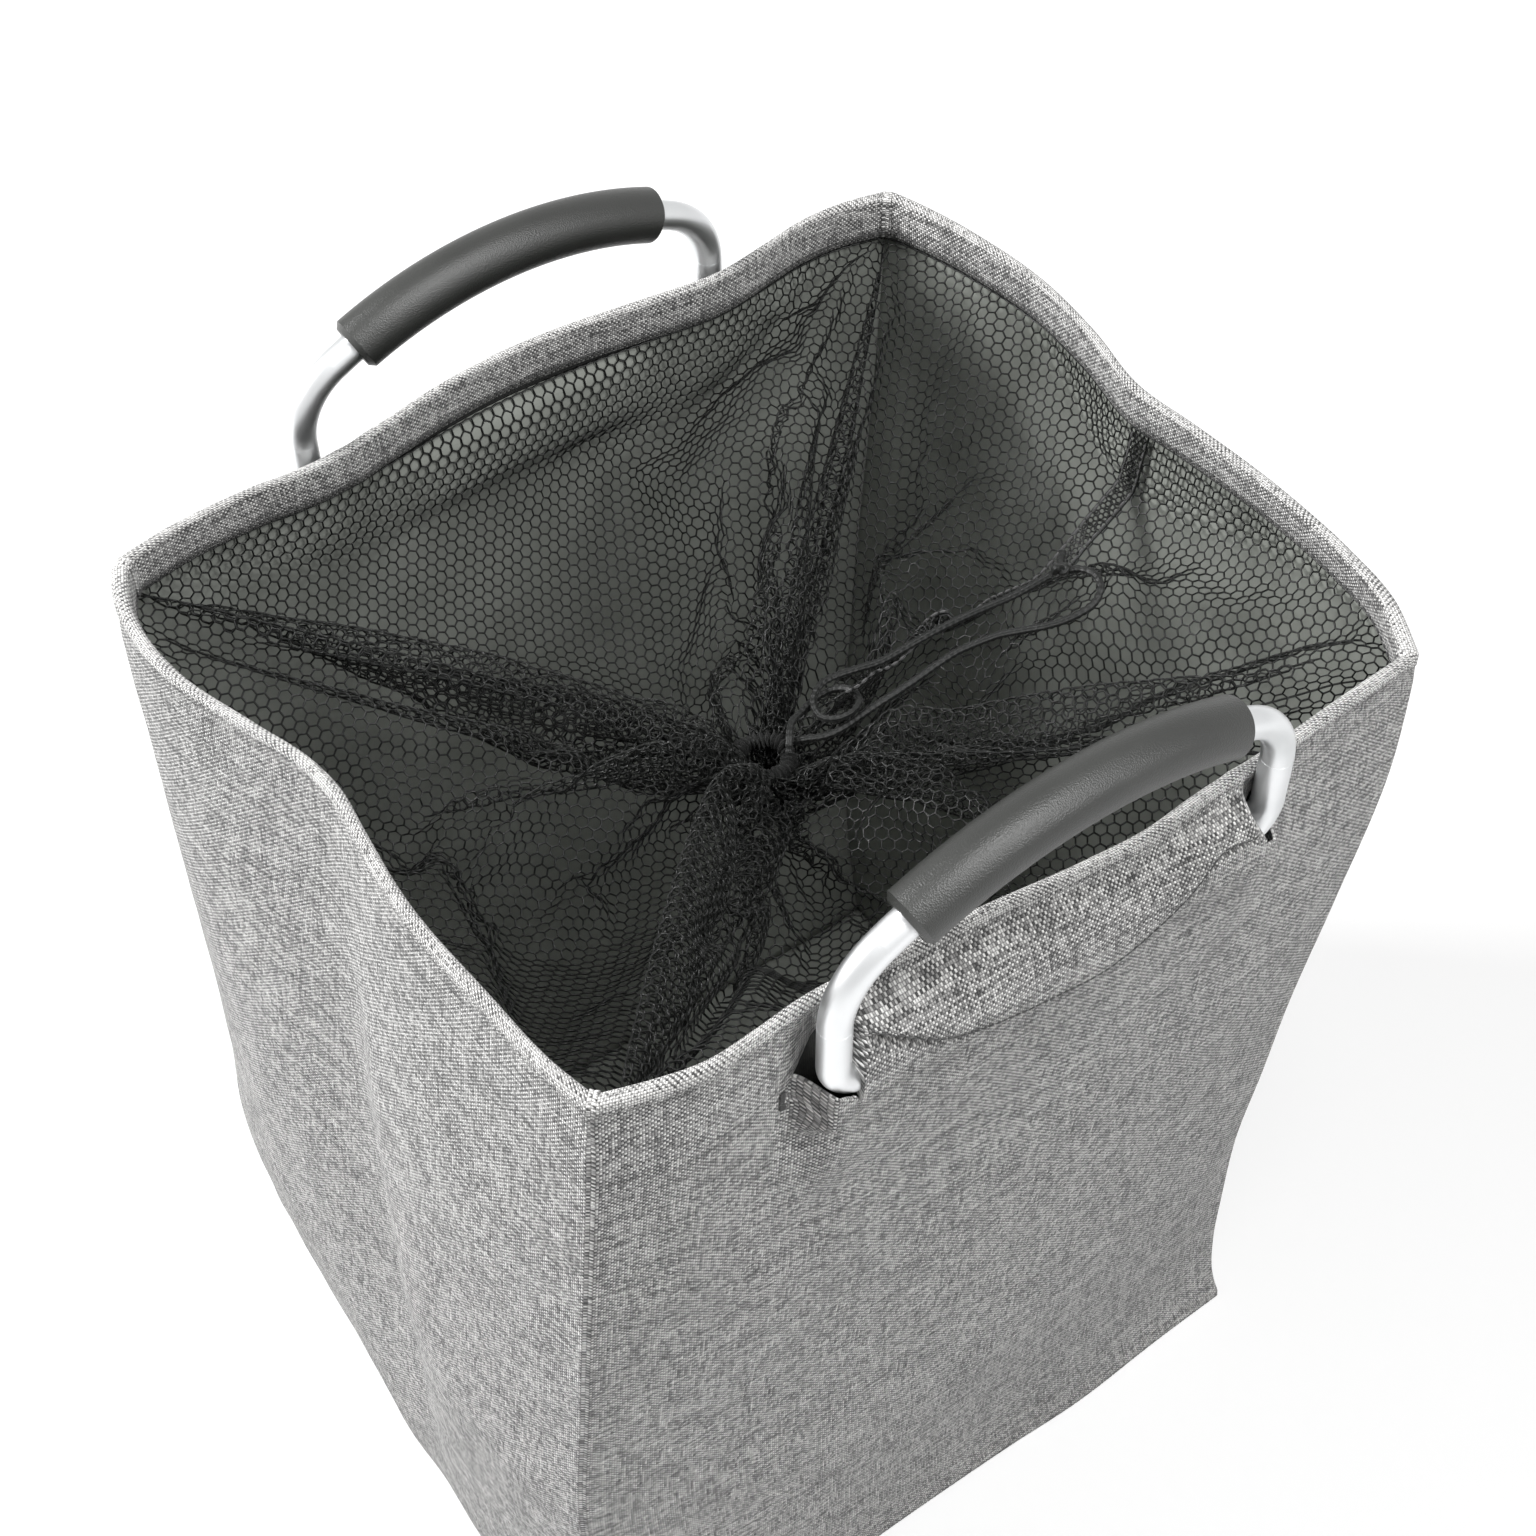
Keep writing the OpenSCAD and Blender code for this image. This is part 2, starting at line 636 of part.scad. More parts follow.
module grip() {
    grip_r = grip_d / 2;
    spill = 1;
    color(foam_grey)
        handle_frame()
            difference() {
                bend(crown_centre, crown_r, 90 - grip_angle / 2, 90 + grip_angle / 2)
                    difference() {
                        circle(grip_r);
                        circle(grip_bore);
                    }
                for (side = [0, 1])
                    mirror([side, 0, 0])
                        translate(crown_centre) rotate(90 + grip_angle / 2)
                            translate([crown_r, 0, 0]) rotate([-90, 0, 0])
                                rotate_extrude()
                                    polygon([[grip_r - grip_end_r - spill, spill],
                                             [grip_r + spill, spill],
                                             [grip_r + spill, -grip_end_r - spill]]);
            }
}

module front_handle_tube() { handle_tube(); }
module front_handle_dowel() { handle_dowel(); }
module front_grip() { grip(); }
module back_handle_tube() { rotate(180) handle_tube(); }
module back_handle_dowel() { rotate(180) handle_dowel(); }
module back_grip() { rotate(180) grip(); }

front_panel();
back_panel();
left_gusset();
right_gusset();
base_panel();
base_binding();
base_board();
base_lining();
front_lining();
back_lining();
left_lining();
right_lining();
front_left_seam();
front_right_seam();
back_left_seam();
back_right_seam();
front_channel();
back_channel();
front_bartacks();
back_bartacks();
net_cover();
net_neck();
net_header();
net_seam();
gather_casing();
drawcord_loop();
drawcord_tail_a();
drawcord_tail_b();
drawcord_knot();
front_handle_tube();
front_handle_dowel();
front_grip();
back_handle_tube();
back_handle_dowel();
back_grip();
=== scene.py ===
"""Soft laundry hamper: bowed and folded cloth walls, coated lining, knitted net
cover drawn in by a braided cord, and two folding handles with foam grips."""
import math

import bmesh
import bpy
import numpy as np
from mathutils import Matrix, Vector, noise


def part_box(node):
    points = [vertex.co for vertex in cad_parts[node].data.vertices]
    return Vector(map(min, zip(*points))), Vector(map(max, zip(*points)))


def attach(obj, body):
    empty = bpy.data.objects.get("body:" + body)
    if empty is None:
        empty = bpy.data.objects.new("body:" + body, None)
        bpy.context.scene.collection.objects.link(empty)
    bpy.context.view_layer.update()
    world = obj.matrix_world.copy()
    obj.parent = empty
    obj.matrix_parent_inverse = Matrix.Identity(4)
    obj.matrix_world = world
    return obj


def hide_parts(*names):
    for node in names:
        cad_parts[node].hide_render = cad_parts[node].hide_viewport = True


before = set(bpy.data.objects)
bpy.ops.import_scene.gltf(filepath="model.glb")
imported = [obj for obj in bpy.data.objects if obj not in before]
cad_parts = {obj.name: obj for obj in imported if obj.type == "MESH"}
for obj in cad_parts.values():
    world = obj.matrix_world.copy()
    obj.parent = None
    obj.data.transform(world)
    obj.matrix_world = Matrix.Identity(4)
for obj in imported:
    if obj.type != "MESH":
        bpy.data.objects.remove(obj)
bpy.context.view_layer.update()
MM = 0.001
TAU = 2 * math.pi


# ---- materials ---------------------------------------------------------------

def colour(code):
    """An sRGB hex colour as the linear RGBA that a shader takes."""
    parts = [int(code[i:i + 2], 16) / 255 for i in (1, 3, 5)]
    return tuple(p / 12.92 if p <= 0.04045 else ((p + 0.055) / 1.055) ** 2.4
                 for p in parts) + (1.0,)


def put(owner, socket, value):
    """Gives a socket a number, a hex colour, or the link to a node or its output."""
    if isinstance(value, bpy.types.Node):
        value = value.outputs[0]
    if isinstance(value, bpy.types.NodeSocket):
        owner.node_tree.links.new(value, socket)
    else:
        socket.default_value = colour(value) if isinstance(value, str) else value


def add(owner, kind, *inputs, stops=(), **settings):
    """Adds a node to a material or the world. Its kind may end in an operation, as in
    "Math ADD". Inputs fill its sockets in order, settings its properties and sockets by
    name, and (place, hex colour) stops its colour band."""
    kind, _, operation = kind.partition(" ")
    node = owner.node_tree.nodes.new("ShaderNode" + kind)
    if operation:
        node.operation = operation
    for socket, value in zip(node.inputs, inputs):
        put(owner, socket, value)
    for name, value in settings.items():
        if hasattr(node, name):
            setattr(node, name, value)
        else:
            put(owner, node.inputs[name.replace("_", " ")], value)
    for i, (place, code) in enumerate(stops):
        band = node.color_ramp.elements
        element = band[i] if i < len(band) else band.new(1)
        element.position = place
        element.color = colour(code)
    return node


def finish(name, **shader):
    """A new material: its Principled shader with constants on the sockets."""
    mat = bpy.data.materials.new(name)
    mat.use_nodes = True
    bsdf = mat.node_tree.nodes["Principled BSDF"]
    for key, value in shader.items():
        put(mat, bsdf.inputs[key.replace("_", " ")], value)
    return mat, bsdf


# How far a woven thread's shade strays along the colour band: where it passes over or
# under its neighbour, from crossing to crossing, and in its slubs, which are given as
# (slubs per thread crossed, stray, seed). The weft's are longer and stronger.
OVER_UNDER, FLECK = 0.09, 0.14
WEFT_SLUBS, WARP_SLUBS = (0.05, 0.60, 11.3), (0.065, 0.50, 3.7)
# Distance of the band's dark and light ends from its middle, at a contrast of 1
DARK_END, LIGHT_END = 0.17, 0.18
# A rolled hem under tension shows slanting ribs: their pitch, the mean lightening of the roll,
# which is painted light on the rim's fold where it faces up, and the ribs' swing
ROLL_RIB, ROLL_PAINTED_LIGHT, RIB_SWING = 2.4 * MM, 0.09, 0.10


def woven(name, pitch, dark, mid, light, contrast, depth, roughness=0.9, sheen=0.25,
          thread_gap_shade=0.45, roll=None):
    """Plain weave on the UV map in metres: each thread passes over and under its
    neighbours, is a slightly different shade and has thick, pale slubs along it. The
    colour is darkened in the gaps between the threads as painted shade. From v = 0 a
    rolled hem of a given width is pulled tight: it opens into pale ribs, and the whole
    roll is lightened as painted light where the rim's fold faces up."""
    mat, bsdf = finish(name, Roughness=roughness, Sheen_Weight=sheen,
                       Sheen_Roughness=0.5, Specular_IOR_Level=0.15)
    metres = add(mat, "SeparateXYZ", add(mat, "UVMap", uv_map="UVMap")).outputs
    u = add(mat, "Math DIVIDE", metres["X"], pitch)
    v = add(mat, "Math DIVIDE", metres["Y"], pitch)
    column = add(mat, "Math FLOOR", u)
    row = add(mat, "Math FLOOR", v)
    over = add(mat, "Math MODULO", add(mat, "Math ADD", column, row), 2)
    over = add(mat, "Math SUBTRACT", add(mat, "Math ABSOLUTE", over), 0.5)
    value = add(mat, "Math MULTIPLY", over, OVER_UNDER * contrast)
    for yarn, along, (often, stray, seed) in ((row, u, WEFT_SLUBS), (column, v, WARP_SLUBS)):
        place = add(mat, "CombineXYZ", yarn, add(mat, "Math MULTIPLY", along, often), seed)
        slub = add(mat, "TexNoise", Vector=place, Scale=1.0, Detail=5.0, Roughness=0.75)
        slub = add(mat, "Math MULTIPLY", add(mat, "Math SUBTRACT", slub, 0.5), stray)
        value = add(mat, "Math ADD", value, slub)
    fleck = add(mat, "TexWhiteNoise", noise_dimensions="3D",
                Vector=add(mat, "CombineXYZ", column, row, 0.5))
    fleck = add(mat, "Math MULTIPLY", add(mat, "Math SUBTRACT", fleck, 0.5), FLECK)
    value = add(mat, "Math ADD", add(mat, "Math ADD", value, fleck), 0.5)
    # inside the roll the colour is lightened as painted light on the rim's upturned fold, and the
    # ribs swing about that
    if roll:
        inside = add(mat, "Math MULTIPLY",
                     add(mat, "Math GREATER_THAN", metres["Y"], -0.5 * MM),
                     add(mat, "Math LESS_THAN", metres["Y"], roll))
        slant = add(mat, "Math ADD", metres["X"], metres["Y"])
        ribs = add(mat, "Math SINE", add(mat, "Math MULTIPLY", slant, TAU / ROLL_RIB))
        pale = add(mat, "Math ADD", ROLL_PAINTED_LIGHT, add(mat, "Math MULTIPLY", ribs, RIB_SWING))
        value = add(mat, "Math ADD", value, add(mat, "Math MULTIPLY", inside, pale))
    shade = add(mat, "ValToRGB", value, stops=[
        (0.5 - DARK_END / contrast, dark), (0.5, mid), (0.5 + LIGHT_END / contrast, light)])
    # each crossing is a small cushion; the thread on top is higher than the other. The colour is
    # darkened towards the gaps between cushions: painted shade in the weave's dips
    rounds = [add(mat, "Math ABSOLUTE",
                  add(mat, "Math SINE", add(mat, "Math MULTIPLY", along, math.pi)))
              for along in (u, v)]
    cushion = add(mat, "Math MULTIPLY", *rounds)
    painted_weave_shade = add(mat, "MapRange", cushion, From_Min=0.0, From_Max=0.5, To_Min=thread_gap_shade,
                 To_Max=1.0)
    tint = add(mat, "Mix", 1.0, data_type="RGBA", blend_type="MULTIPLY")
    put(mat, tint.inputs[6], shade)
    put(mat, tint.inputs[7], painted_weave_shade)
    put(mat, bsdf.inputs["Base Color"], tint.outputs[2])
    height = add(mat, "Math MULTIPLY", cushion, add(mat, "Math ADD", 0.4, value))
    put(mat, bsdf.inputs["Normal"],
        add(mat, "Bump", Strength=1.0, Distance=depth, Height=height))
    return mat


# Melange polyester linen: thick and thin greys spun together, plain woven, so
# single pale and dark dashes show and the face stays dull. The weave is drawn
# coarser than life, at a pitch that still shows.
# its colour is darkened between its threads as painted shade
linen = woven("melange_linen_cloth", 1.15 * MM, "#4a4a4a", "#a6a5a4", "#f6f5f3", 1.5, 0.6 * MM,
              thread_gap_shade=0.35, roll=8.5 * MM)
# The same yarn in the strips and tapes that stay inside, woven tighter. Its dark grey is partly
# painted shade: seen through the slits, the channel strip stands in for the shade inside the
# channel
tape_cloth = woven("woven_polyester_tape", 0.9 * MM, "#2c2d2c", "#3c3d3b", "#4d4e4b", 1.0,
                   0.2 * MM, sheen=0.1)
# Bound edge and casing of the net: narrow black polyester tape
binding_cloth = woven("black_polyester_binding", 0.8 * MM, "#0f100f", "#181918", "#262726",
                      1.0, 0.2 * MM, roughness=0.75, sheen=0.08)


def grained(name, grain, stops, depth, **shader):
    """A material with one fine grain, which shifts its shade and roughens its surface."""
    mat, bsdf = finish(name, **shader)
    place = add(mat, "TexCoord").outputs["Object"]
    noise_node = add(mat, "TexNoise", Vector=place, **grain)
    put(mat, bsdf.inputs["Base Color"], add(mat, "ValToRGB", noise_node, stops=stops))
    put(mat, bsdf.inputs["Normal"],
        add(mat, "Bump", Strength=1.0, Distance=depth, Height=noise_node))
    return mat


# Warp-knitted polyester monofilament net: near black, smooth enough to catch a grey
# highlight where it faces the light
net = grained("knitted_polyester_net", {"Scale": 900.0, "Detail": 2.0},
              [(0.3, "#0e0f0e"), (0.7, "#1a1b1a")], 0.15 * MM, Roughness=0.3,
              Sheen_Weight=0.12, Sheen_Roughness=0.4, Specular_IOR_Level=0.22,
              Sheen_Tint="#c9cbc9")
# Braided polyester cord: black, its strands bundles of fine filaments
cord_braid = grained("braided_polyester_cord", {"Scale": 1800.0, "Detail": 3.0},
                     [(0.3, "#0f100f"), (0.6, "#1a1b1a"), (0.85, "#2b2c2b")], 0.2 * MM,
                     Roughness=0.4, Sheen_Weight=0.12, Sheen_Roughness=0.4,
                     Specular_IOR_Level=0.25)
# Spun polyester sewing thread: dark grey, slightly hairy
thread = grained("spun_polyester_thread", {"Scale": 1200.0, "Detail": 3.0},
                 [(0.3, "#2a2a2a"), (0.7, "#454545")], 0.1 * MM, Roughness=0.85,
                 Sheen_Weight=0.3)
# Pressed fibreboard of the base: grey and matt, with short fibres
board = grained("pressed_fibreboard", {"Scale": 300.0, "Detail": 4.0, "Distortion": 2.0},
                [(0.3, "#6a6862"), (0.7, "#83817a")], 0.1 * MM, Roughness=0.9)


def coated_lining():
    """Polyester taffeta with a smooth water-repellent coating: a dull grey-green, with a
    dim sheen, a trace of the fine weave under it and faint rubbed marks."""
    mat, bsdf = finish("coated_polyester_lining", Roughness=0.5, Sheen_Weight=0.1,
                       Sheen_Roughness=0.5, Specular_IOR_Level=0.25)
    place = add(mat, "TexCoord").outputs["Object"]
    marks = add(mat, "TexNoise", Vector=place, Scale=14.0, Detail=4.0, Roughness=0.6)
    put(mat, bsdf.inputs["Base Color"], add(mat, "ValToRGB", marks, stops=[
        (0.3, "#7c7f79"), (0.55, "#8d908a"), (0.8, "#9ea19b")]))
    put(mat, bsdf.inputs["Roughness"], add(mat, "MapRange", marks, To_Min=0.48, To_Max=0.66))
    weave = add(mat, "TexNoise", Vector=place, Scale=1400.0, Detail=2.0)
    creases = add(mat, "TexNoise", Vector=place, Scale=55.0, Detail=3.0, Distortion=0.6)
    height = add(mat, "Math ADD", add(mat, "Math MULTIPLY", weave, 0.15), creases)
    put(mat, bsdf.inputs["Normal"],
        add(mat, "Bump", Strength=1.0, Distance=0.8 * MM, Height=height))
    return mat


def satin_tube():
    """Drawn aluminium tube, blasted and clear anodised: pale, silky and faintly cloudy,
    with no sharp reflection."""
    mat, bsdf = finish("satin_anodised_aluminium", Metallic=1.0, Roughness=0.36)
    place = add(mat, "TexCoord").outputs["Object"]
    cloudy = add(mat, "TexNoise", Vector=place, Scale=30.0, Detail=3.0)
    put(mat, bsdf.inputs["Base Color"], add(mat, "ValToRGB", cloudy, stops=[
        (0.3, "#cfd1d2"), (0.7, "#dadbdc")]))
    put(mat, bsdf.inputs["Roughness"], add(mat, "MapRange", cloudy, To_Min=0.30, To_Max=0.42))
    blasted = add(mat, "TexNoise", Vector=place, Scale=2600.0, Detail=2.0)
    put(mat, bsdf.inputs["Normal"],
        add(mat, "Bump", Strength=1.0, Distance=0.03 * MM, Height=blasted))
    return mat


def foam_rubber():
    """Extruded closed-cell foam sleeve: dark grey, its skin smooth enough for a soft
    highlight, with fine pores."""
    mat, bsdf = finish("closed_cell_foam_rubber", Roughness=0.38, Specular_IOR_Level=0.55)
    place = add(mat, "TexCoord").outputs["Object"]
    rubbed = add(mat, "TexNoise", Vector=place, Scale=24.0, Detail=3.0)
    put(mat, bsdf.inputs["Base Color"], add(mat, "ValToRGB", rubbed, stops=[
        (0.3, "#232422"), (0.7, "#2c2d2b")]))
    pores = add(mat, "TexVoronoi", Vector=place, Scale=1500.0)
    put(mat, bsdf.inputs["Normal"],
        add(mat, "Bump", Strength=1.0, Distance=0.12 * MM, Height=pores))
    return mat


lining = coated_lining()
tube_metal = satin_tube()
foam = foam_rubber()

NODE_FINISH = {
    "base_panel": linen, "base_board": board, "base_binding": tape_cloth,
    "base_lining": lining, "drawcord_loop": cord_braid,
    "front_handle_tube": tube_metal, "back_handle_tube": tube_metal,
    "front_handle_dowel": foam, "back_handle_dowel": foam,
    "front_grip": foam, "back_grip": foam,
}
for node_name, node_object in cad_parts.items():
    material = NODE_FINISH.get(node_name, tape_cloth)
    node_object.data.materials.clear()
    node_object.data.materials.append(material)


# ---- camera, light and floor ---------------------------------------------------

VIEW_AZIMUTH, VIEW_HEIGHT = math.radians(-36.24), math.radians(49.26)
VIEW_DISTANCE = 1.39526
VIEW_TARGET = Vector((0.07756, 0.10194, 0.300))
SENSOR, FOCAL = 36.0, 60.9375


def aim(obj, place, target):
    """Puts a camera or lamp at a place and turns it to a target."""
    obj.location = place
    obj.rotation_euler = (Vector(target) - Vector(place)).to_track_quat("-Z", "Y").to_euler()


camera_data = bpy.data.cameras.new("studio_camera")
camera_data.sensor_width = SENSOR
camera_data.lens = FOCAL
camera_data.clip_end = 50
camera = bpy.data.objects.new("studio_camera", camera_data)
bpy.context.scene.collection.objects.link(camera)
back_from_target = Vector((math.sin(VIEW_AZIMUTH) * math.cos(VIEW_HEIGHT),
                           -math.cos(VIEW_AZIMUTH) * math.cos(VIEW_HEIGHT),
                           math.sin(VIEW_HEIGHT)))
aim(camera, VIEW_TARGET + back_from_target * VIEW_DISTANCE, VIEW_TARGET)
bpy.context.scene.camera = camera
bpy.context.scene.view_settings.view_transform = "Standard"


def lamp(name, place, size, energy):
    """A soft square area lamp turned to the hamper."""
    data = bpy.data.lights.new(name, "AREA")
    data.size = size
    data.energy = energy
    obj = bpy.data.objects.new(name, data)
    bpy.context.scene.collection.objects.link(obj)
    aim(obj, place, (0, 0, 0.3))


lamp("key_softbox", (-1.7, 1.3, 1.9), 1.0, 108)
lamp("top_softbox", (0.1, -0.8, 2.5), 1.0, 34)
lamp("front_softbox", (0.7, -2.1, 2.1), 0.9, 29)


def seen_or_reflected(owner):
    """1 on rays that the eye, metal or glass sends, 0 on rays that carry light."""
    rays = add(owner, "LightPath").outputs
    glossy = add(owner, "Math MAXIMUM", rays["Is Camera Ray"], rays["Is Glossy Ray"])
    return add(owner, "Math MAXIMUM", glossy, rays["Is Transmission Ray"])


AMBIENT = 0.15
world = bpy.data.worlds.new("studio")
bpy.context.scene.world = world
world.use_nodes = True
sky = world.node_tree.nodes["Background"]
put(world, sky.inputs["Color"], (1, 1, 1, 1))
put(world, sky.inputs["Strength"],
    add(world, "MapRange", seen_or_reflected(world), To_Min=AMBIENT, To_Max=1.0))

# The floor's paper glows a little, and from FADE_FROM to FADE_TO metres away from the
# hamper it fades into the white backdrop
PAPER_GLOW, FADE_FROM, FADE_TO = 0.32, 0.9, 2.6
floor_paper, floor_shader = finish("matt_studio_paper", Base_Color="#dedede", Roughness=0.95,
                                   Specular_IOR_Level=0.1, Emission_Color=(1, 1, 1, 1))
away = add(floor_paper, "VectorMath LENGTH", add(floor_paper, "TexCoord").outputs["Object"])
glow = add(floor_paper, "MapRange", away.outputs["Value"], From_Min=FADE_FROM,
           From_Max=FADE_TO, To_Min=PAPER_GLOW, To_Max=1.0)
put(floor_paper, floor_shader.inputs["Emission Strength"],
    add(floor_paper, "Math MULTIPLY", seen_or_reflected(floor_paper), glow))
floor_mesh = bpy.data.meshes.new("studio_floor")
bm = bmesh.new()
bmesh.ops.create_grid(bm, x_segments=1, y_segments=1, size=8)
bm.to_mesh(floor_mesh)
bm.free()
floor_mesh.transform(Matrix.Translation((0, 0, -0.0004)))
floor_mesh.materials.append(floor_paper)
studio_floor = bpy.data.objects.new("studio_floor", floor_mesh)
bpy.context.scene.collection.objects.link(studio_floor)


# ---- making pieces -------------------------------------------------------------

def through(stations, s):
    """A smooth curve through (place, value) stations, at every place in s."""
    xs = np.array([p[0] for p in stations], float)
    ys = np.array([p[1] for p in stations], float)
    s = np.clip(s, xs[0], xs[-1])
    i = np.clip(np.searchsorted(xs, s, side="right") - 1, 0, len(xs) - 2)
    slope = np.gradient(ys, xs)
    span = xs[i + 1] - xs[i]
    t = (s - xs[i]) / span
    return ((2 * t**3 - 3 * t**2 + 1) * ys[i] + (t**3 - 2 * t**2 + t) * span * slope[i]
            + (-2 * t**3 + 3 * t**2) * ys[i + 1] + (t**3 - t**2) * span * slope[i + 1])


def smooth(x):
    """A soft step: 0 up to x = 0, 1 from x = 1."""
    c = np.clip(x, 0, 1)
    return c * c * (3 - 2 * c)


def ripple(u, v, scale, seed):
    """Smooth random waves between about -1 and 1, at places in metres."""
    flat_u, flat_v = np.broadcast_arrays(u, v)
    out = np.array([noise.noise(Vector((a / scale, b / scale, seed)))
                    for a, b in zip(flat_u.ravel(), flat_v.ravel())])
    return out.reshape(flat_u.shape)


def as_piece(mesh, name, material, body="bag"):
    """Turns a finished mesh into an object that rides on a body."""
    mesh.materials.append(material)
    mesh.shade_smooth()
    obj = bpy.data.objects.new(name, mesh)
    bpy.context.scene.collection.objects.link(obj)
    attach(obj, body)
    return obj


def cloth_mesh(name, points, uv, ring=False, keep=None):
    """A sheet from a grid of rows x columns, laid on the given points. A ring joins
    its last column to its first; keep[row, column] says which cells stay."""
    rows, cols = points.shape[:2]
    wide = cols if ring else cols - 1
    bm = bmesh.new()
    bmesh.ops.create_grid(bm, x_segments=wide, y_segments=rows - 1, size=0.5)
    layer = bm.loops.layers.uv.new("UVMap")
    gone = []
    for face in bm.faces:
        middle = face.calc_center_median()
        cell = (round((middle.y + 0.5) * (rows - 1) - 0.5), round((middle.x + 0.5) * wide - 0.5))
        if keep is not None and not keep[cell]:
            gone.append(face)
        for loop in face.loops:
            i = round((loop.vert.co.y + 0.5) * (rows - 1))
            j = round((loop.vert.co.x + 0.5) * wide)
            loop[layer].uv = uv[i, j]
    for vert in bm.verts:
        i = round((vert.co.y + 0.5) * (rows - 1))
        j = round((vert.co.x + 0.5) * wide)
        vert.co = points[i, j % cols]
    bmesh.ops.delete(bm, geom=gone, context="FACES")
    bmesh.ops.remove_doubles(bm, verts=bm.verts, dist=1e-6)
    bmesh.ops.recalc_face_normals(bm, faces=bm.faces)
    mesh = bpy.data.meshes.new(name)
    bm.to_mesh(mesh)
    bm.free()
    return mesh


def solid_cloth(obj, thickness, inward=True):
    """Gives a sheet its thickness, under its face or over it."""
    shell = obj.modifiers.new("thickness", "SOLIDIFY")
    shell.thickness = thickness
    shell.offset = -1 if inward else 1
    shell.use_quality_normals = True
    return obj


# ---- cords -----------------------------------------------------------------------

CORD_D = 3.6 * MM
TAIL_A = [
    (9.8, 6.9, 455), (15, 1, 456.5), (21, -5, 459.5), (29, -10, 461), (38, -12, 463),
    (48, -13, 466), (58, -13, 467.5), (68, -14, 470), (78, -15, 473), (88, -16, 476.5),
    (98, -18, 480.5), (107, -22, 484.5), (115, -28, 490), (122, -36, 495.5), (130, -44, 500.5),
    (139, -49, 504.5), (149, -51, 508.5), (157, -47, 511.5), (160, -39, 511.5),
    (158, -32, 510.5), (154, -28, 509)]
TAIL_B = [
    (9.8, -6.9, 455), (13.5, -2, 461.2), (20, 5, 462), (29, 9, 460.5), (38, 11, 461.5),
    (47, 9, 464), (52, 2, 466.5), (50, -7, 468.5), (43, -11, 469), (35, -9, 467.5),
    (31, -2, 466), (34, 7, 466), (42, 12.5, 467), (51, 13, 467), (61, 10, 468),
    (71, 5, 471), (81, 2, 475), (91, -1, 479.5), (101, -4, 483.5), (111, -8, 488),
    (121, -13, 493), (130, -18, 498), (139, -22, 503.5), (146, -25, 508)]
KNOT = np.array((150, -26, 510.5)) * MM
# Scale of the knot's loops, and the cord's radius where the knot squeezes it
KNOT_LOOP, TIGHT_R = 1.05 * MM, 1.75 * MM


def smooth_route(route, step):
    """The curve through a route's points, as points a step apart, in metres."""
    p = np.array(route, float) * MM
    p = np.vstack([2 * p[0] - p[1], p, 2 * p[-1] - p[-2]])
    fine = []
    for i in range(1, len(p) - 2):
        t = np.linspace(0, 1, 24, endpoint=False)[:, None]
        fine.append(0.5 * (2 * p[i] + (p[i + 1] - p[i - 1]) * t
                           + (2 * p[i - 1] - 5 * p[i] + 4 * p[i + 1] - p[i + 2]) * t**2
                           + (3 * p[i] - p[i - 1] - 3 * p[i + 1] + p[i + 2]) * t**3))
    fine = np.vstack(fine + [p[-2][None]])
    run = np.concatenate([[0], np.cumsum(np.linalg.norm(np.diff(fine, axis=0), axis=1))])
    want = np.linspace(0, run[-1], max(4, round(run[-1] / step) + 1))
    return np.stack([np.interp(want, run, fine[:, k]) for k in range(3)], 1), run[-1]


def swept_mesh(name, line, radius, sides, relief=None, closed=False):
    """A tube along a line, its rings turned as little as possible. relief(angle,
    length) adds to the radius. The ends close to points unless the line is closed."""
    steps = np.diff(np.vstack([line, line[:1]]) if closed else line, axis=0)
    if closed:
        tangents = steps + np.roll(steps, 1, axis=0)
    else:
        tangents = np.vstack([steps[:1], steps[1:] + steps[:-1], steps[-1:]])
    tangents /= np.linalg.norm(tangents, axis=1)[:, None]
    up = np.cross(tangents[0], (0.3, 0.2, 1.0))
    ups = []
    for t in tangents:
        up = up - t * (up @ t)
        up = up / np.linalg.norm(up)
        ups.append(up)
    ups = np.array(ups)
    sides_dir = np.cross(tangents, ups)
    angle = np.arange(sides) / sides * TAU
    run = np.concatenate([[0], np.cumsum(np.linalg.norm(np.diff(line, axis=0), axis=1))])
    r = np.full((len(line), sides), radius)
    if relief:
        r = r + relief(angle[None], run[:, None])
    points = (line[:, None] + r[..., None] * (np.cos(angle)[None, :, None] * ups[:, None]
                                              + np.sin(angle)[None, :, None] * sides_dir[:, None]))
    if not closed:
        ends = [np.repeat(line[k][None, None], sides, axis=1) for k in (0, -1)]
        points = np.concatenate([ends[0], points, ends[1]], axis=0)
        run = np.concatenate([[0], run, run[-1:]])
    else:
        points = np.concatenate([points, points[:1]], axis=0)
        run = np.concatenate([run, [run[-1] + np.linalg.norm(line[0] - line[-1])]])
    uv = np.zeros((len(points), sides + 1, 2))
    uv[..., 0] = np.arange(sides + 1) / sides
    uv[..., 1] = run[:, None]
    return cloth_mesh(name, points, uv, ring=True)


BRAID_LAY, BRAID_RISE, BRAID_SINK = 6.5 * MM, 0.42 * MM, 0.2 * MM


def braid(angle, run):
    """Two sets of strands that cross: a row of small diamonds round the cord."""
    slant = run * TAU / BRAID_LAY
    return BRAID_RISE * np.cos(3 * angle + slant) * np.cos(3 * angle - slant) - BRAID_SINK


def cord(name, node, route):
    """One free end of the drawcord, in place of its CAD node."""
    line, length = smooth_route(route, 0.8 * MM)
    mesh = swept_mesh(name, line, CORD_D / 2, 24, relief=braid)
    piece = as_piece(mesh, name, cord_braid)
    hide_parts(node)
    return piece, line, length


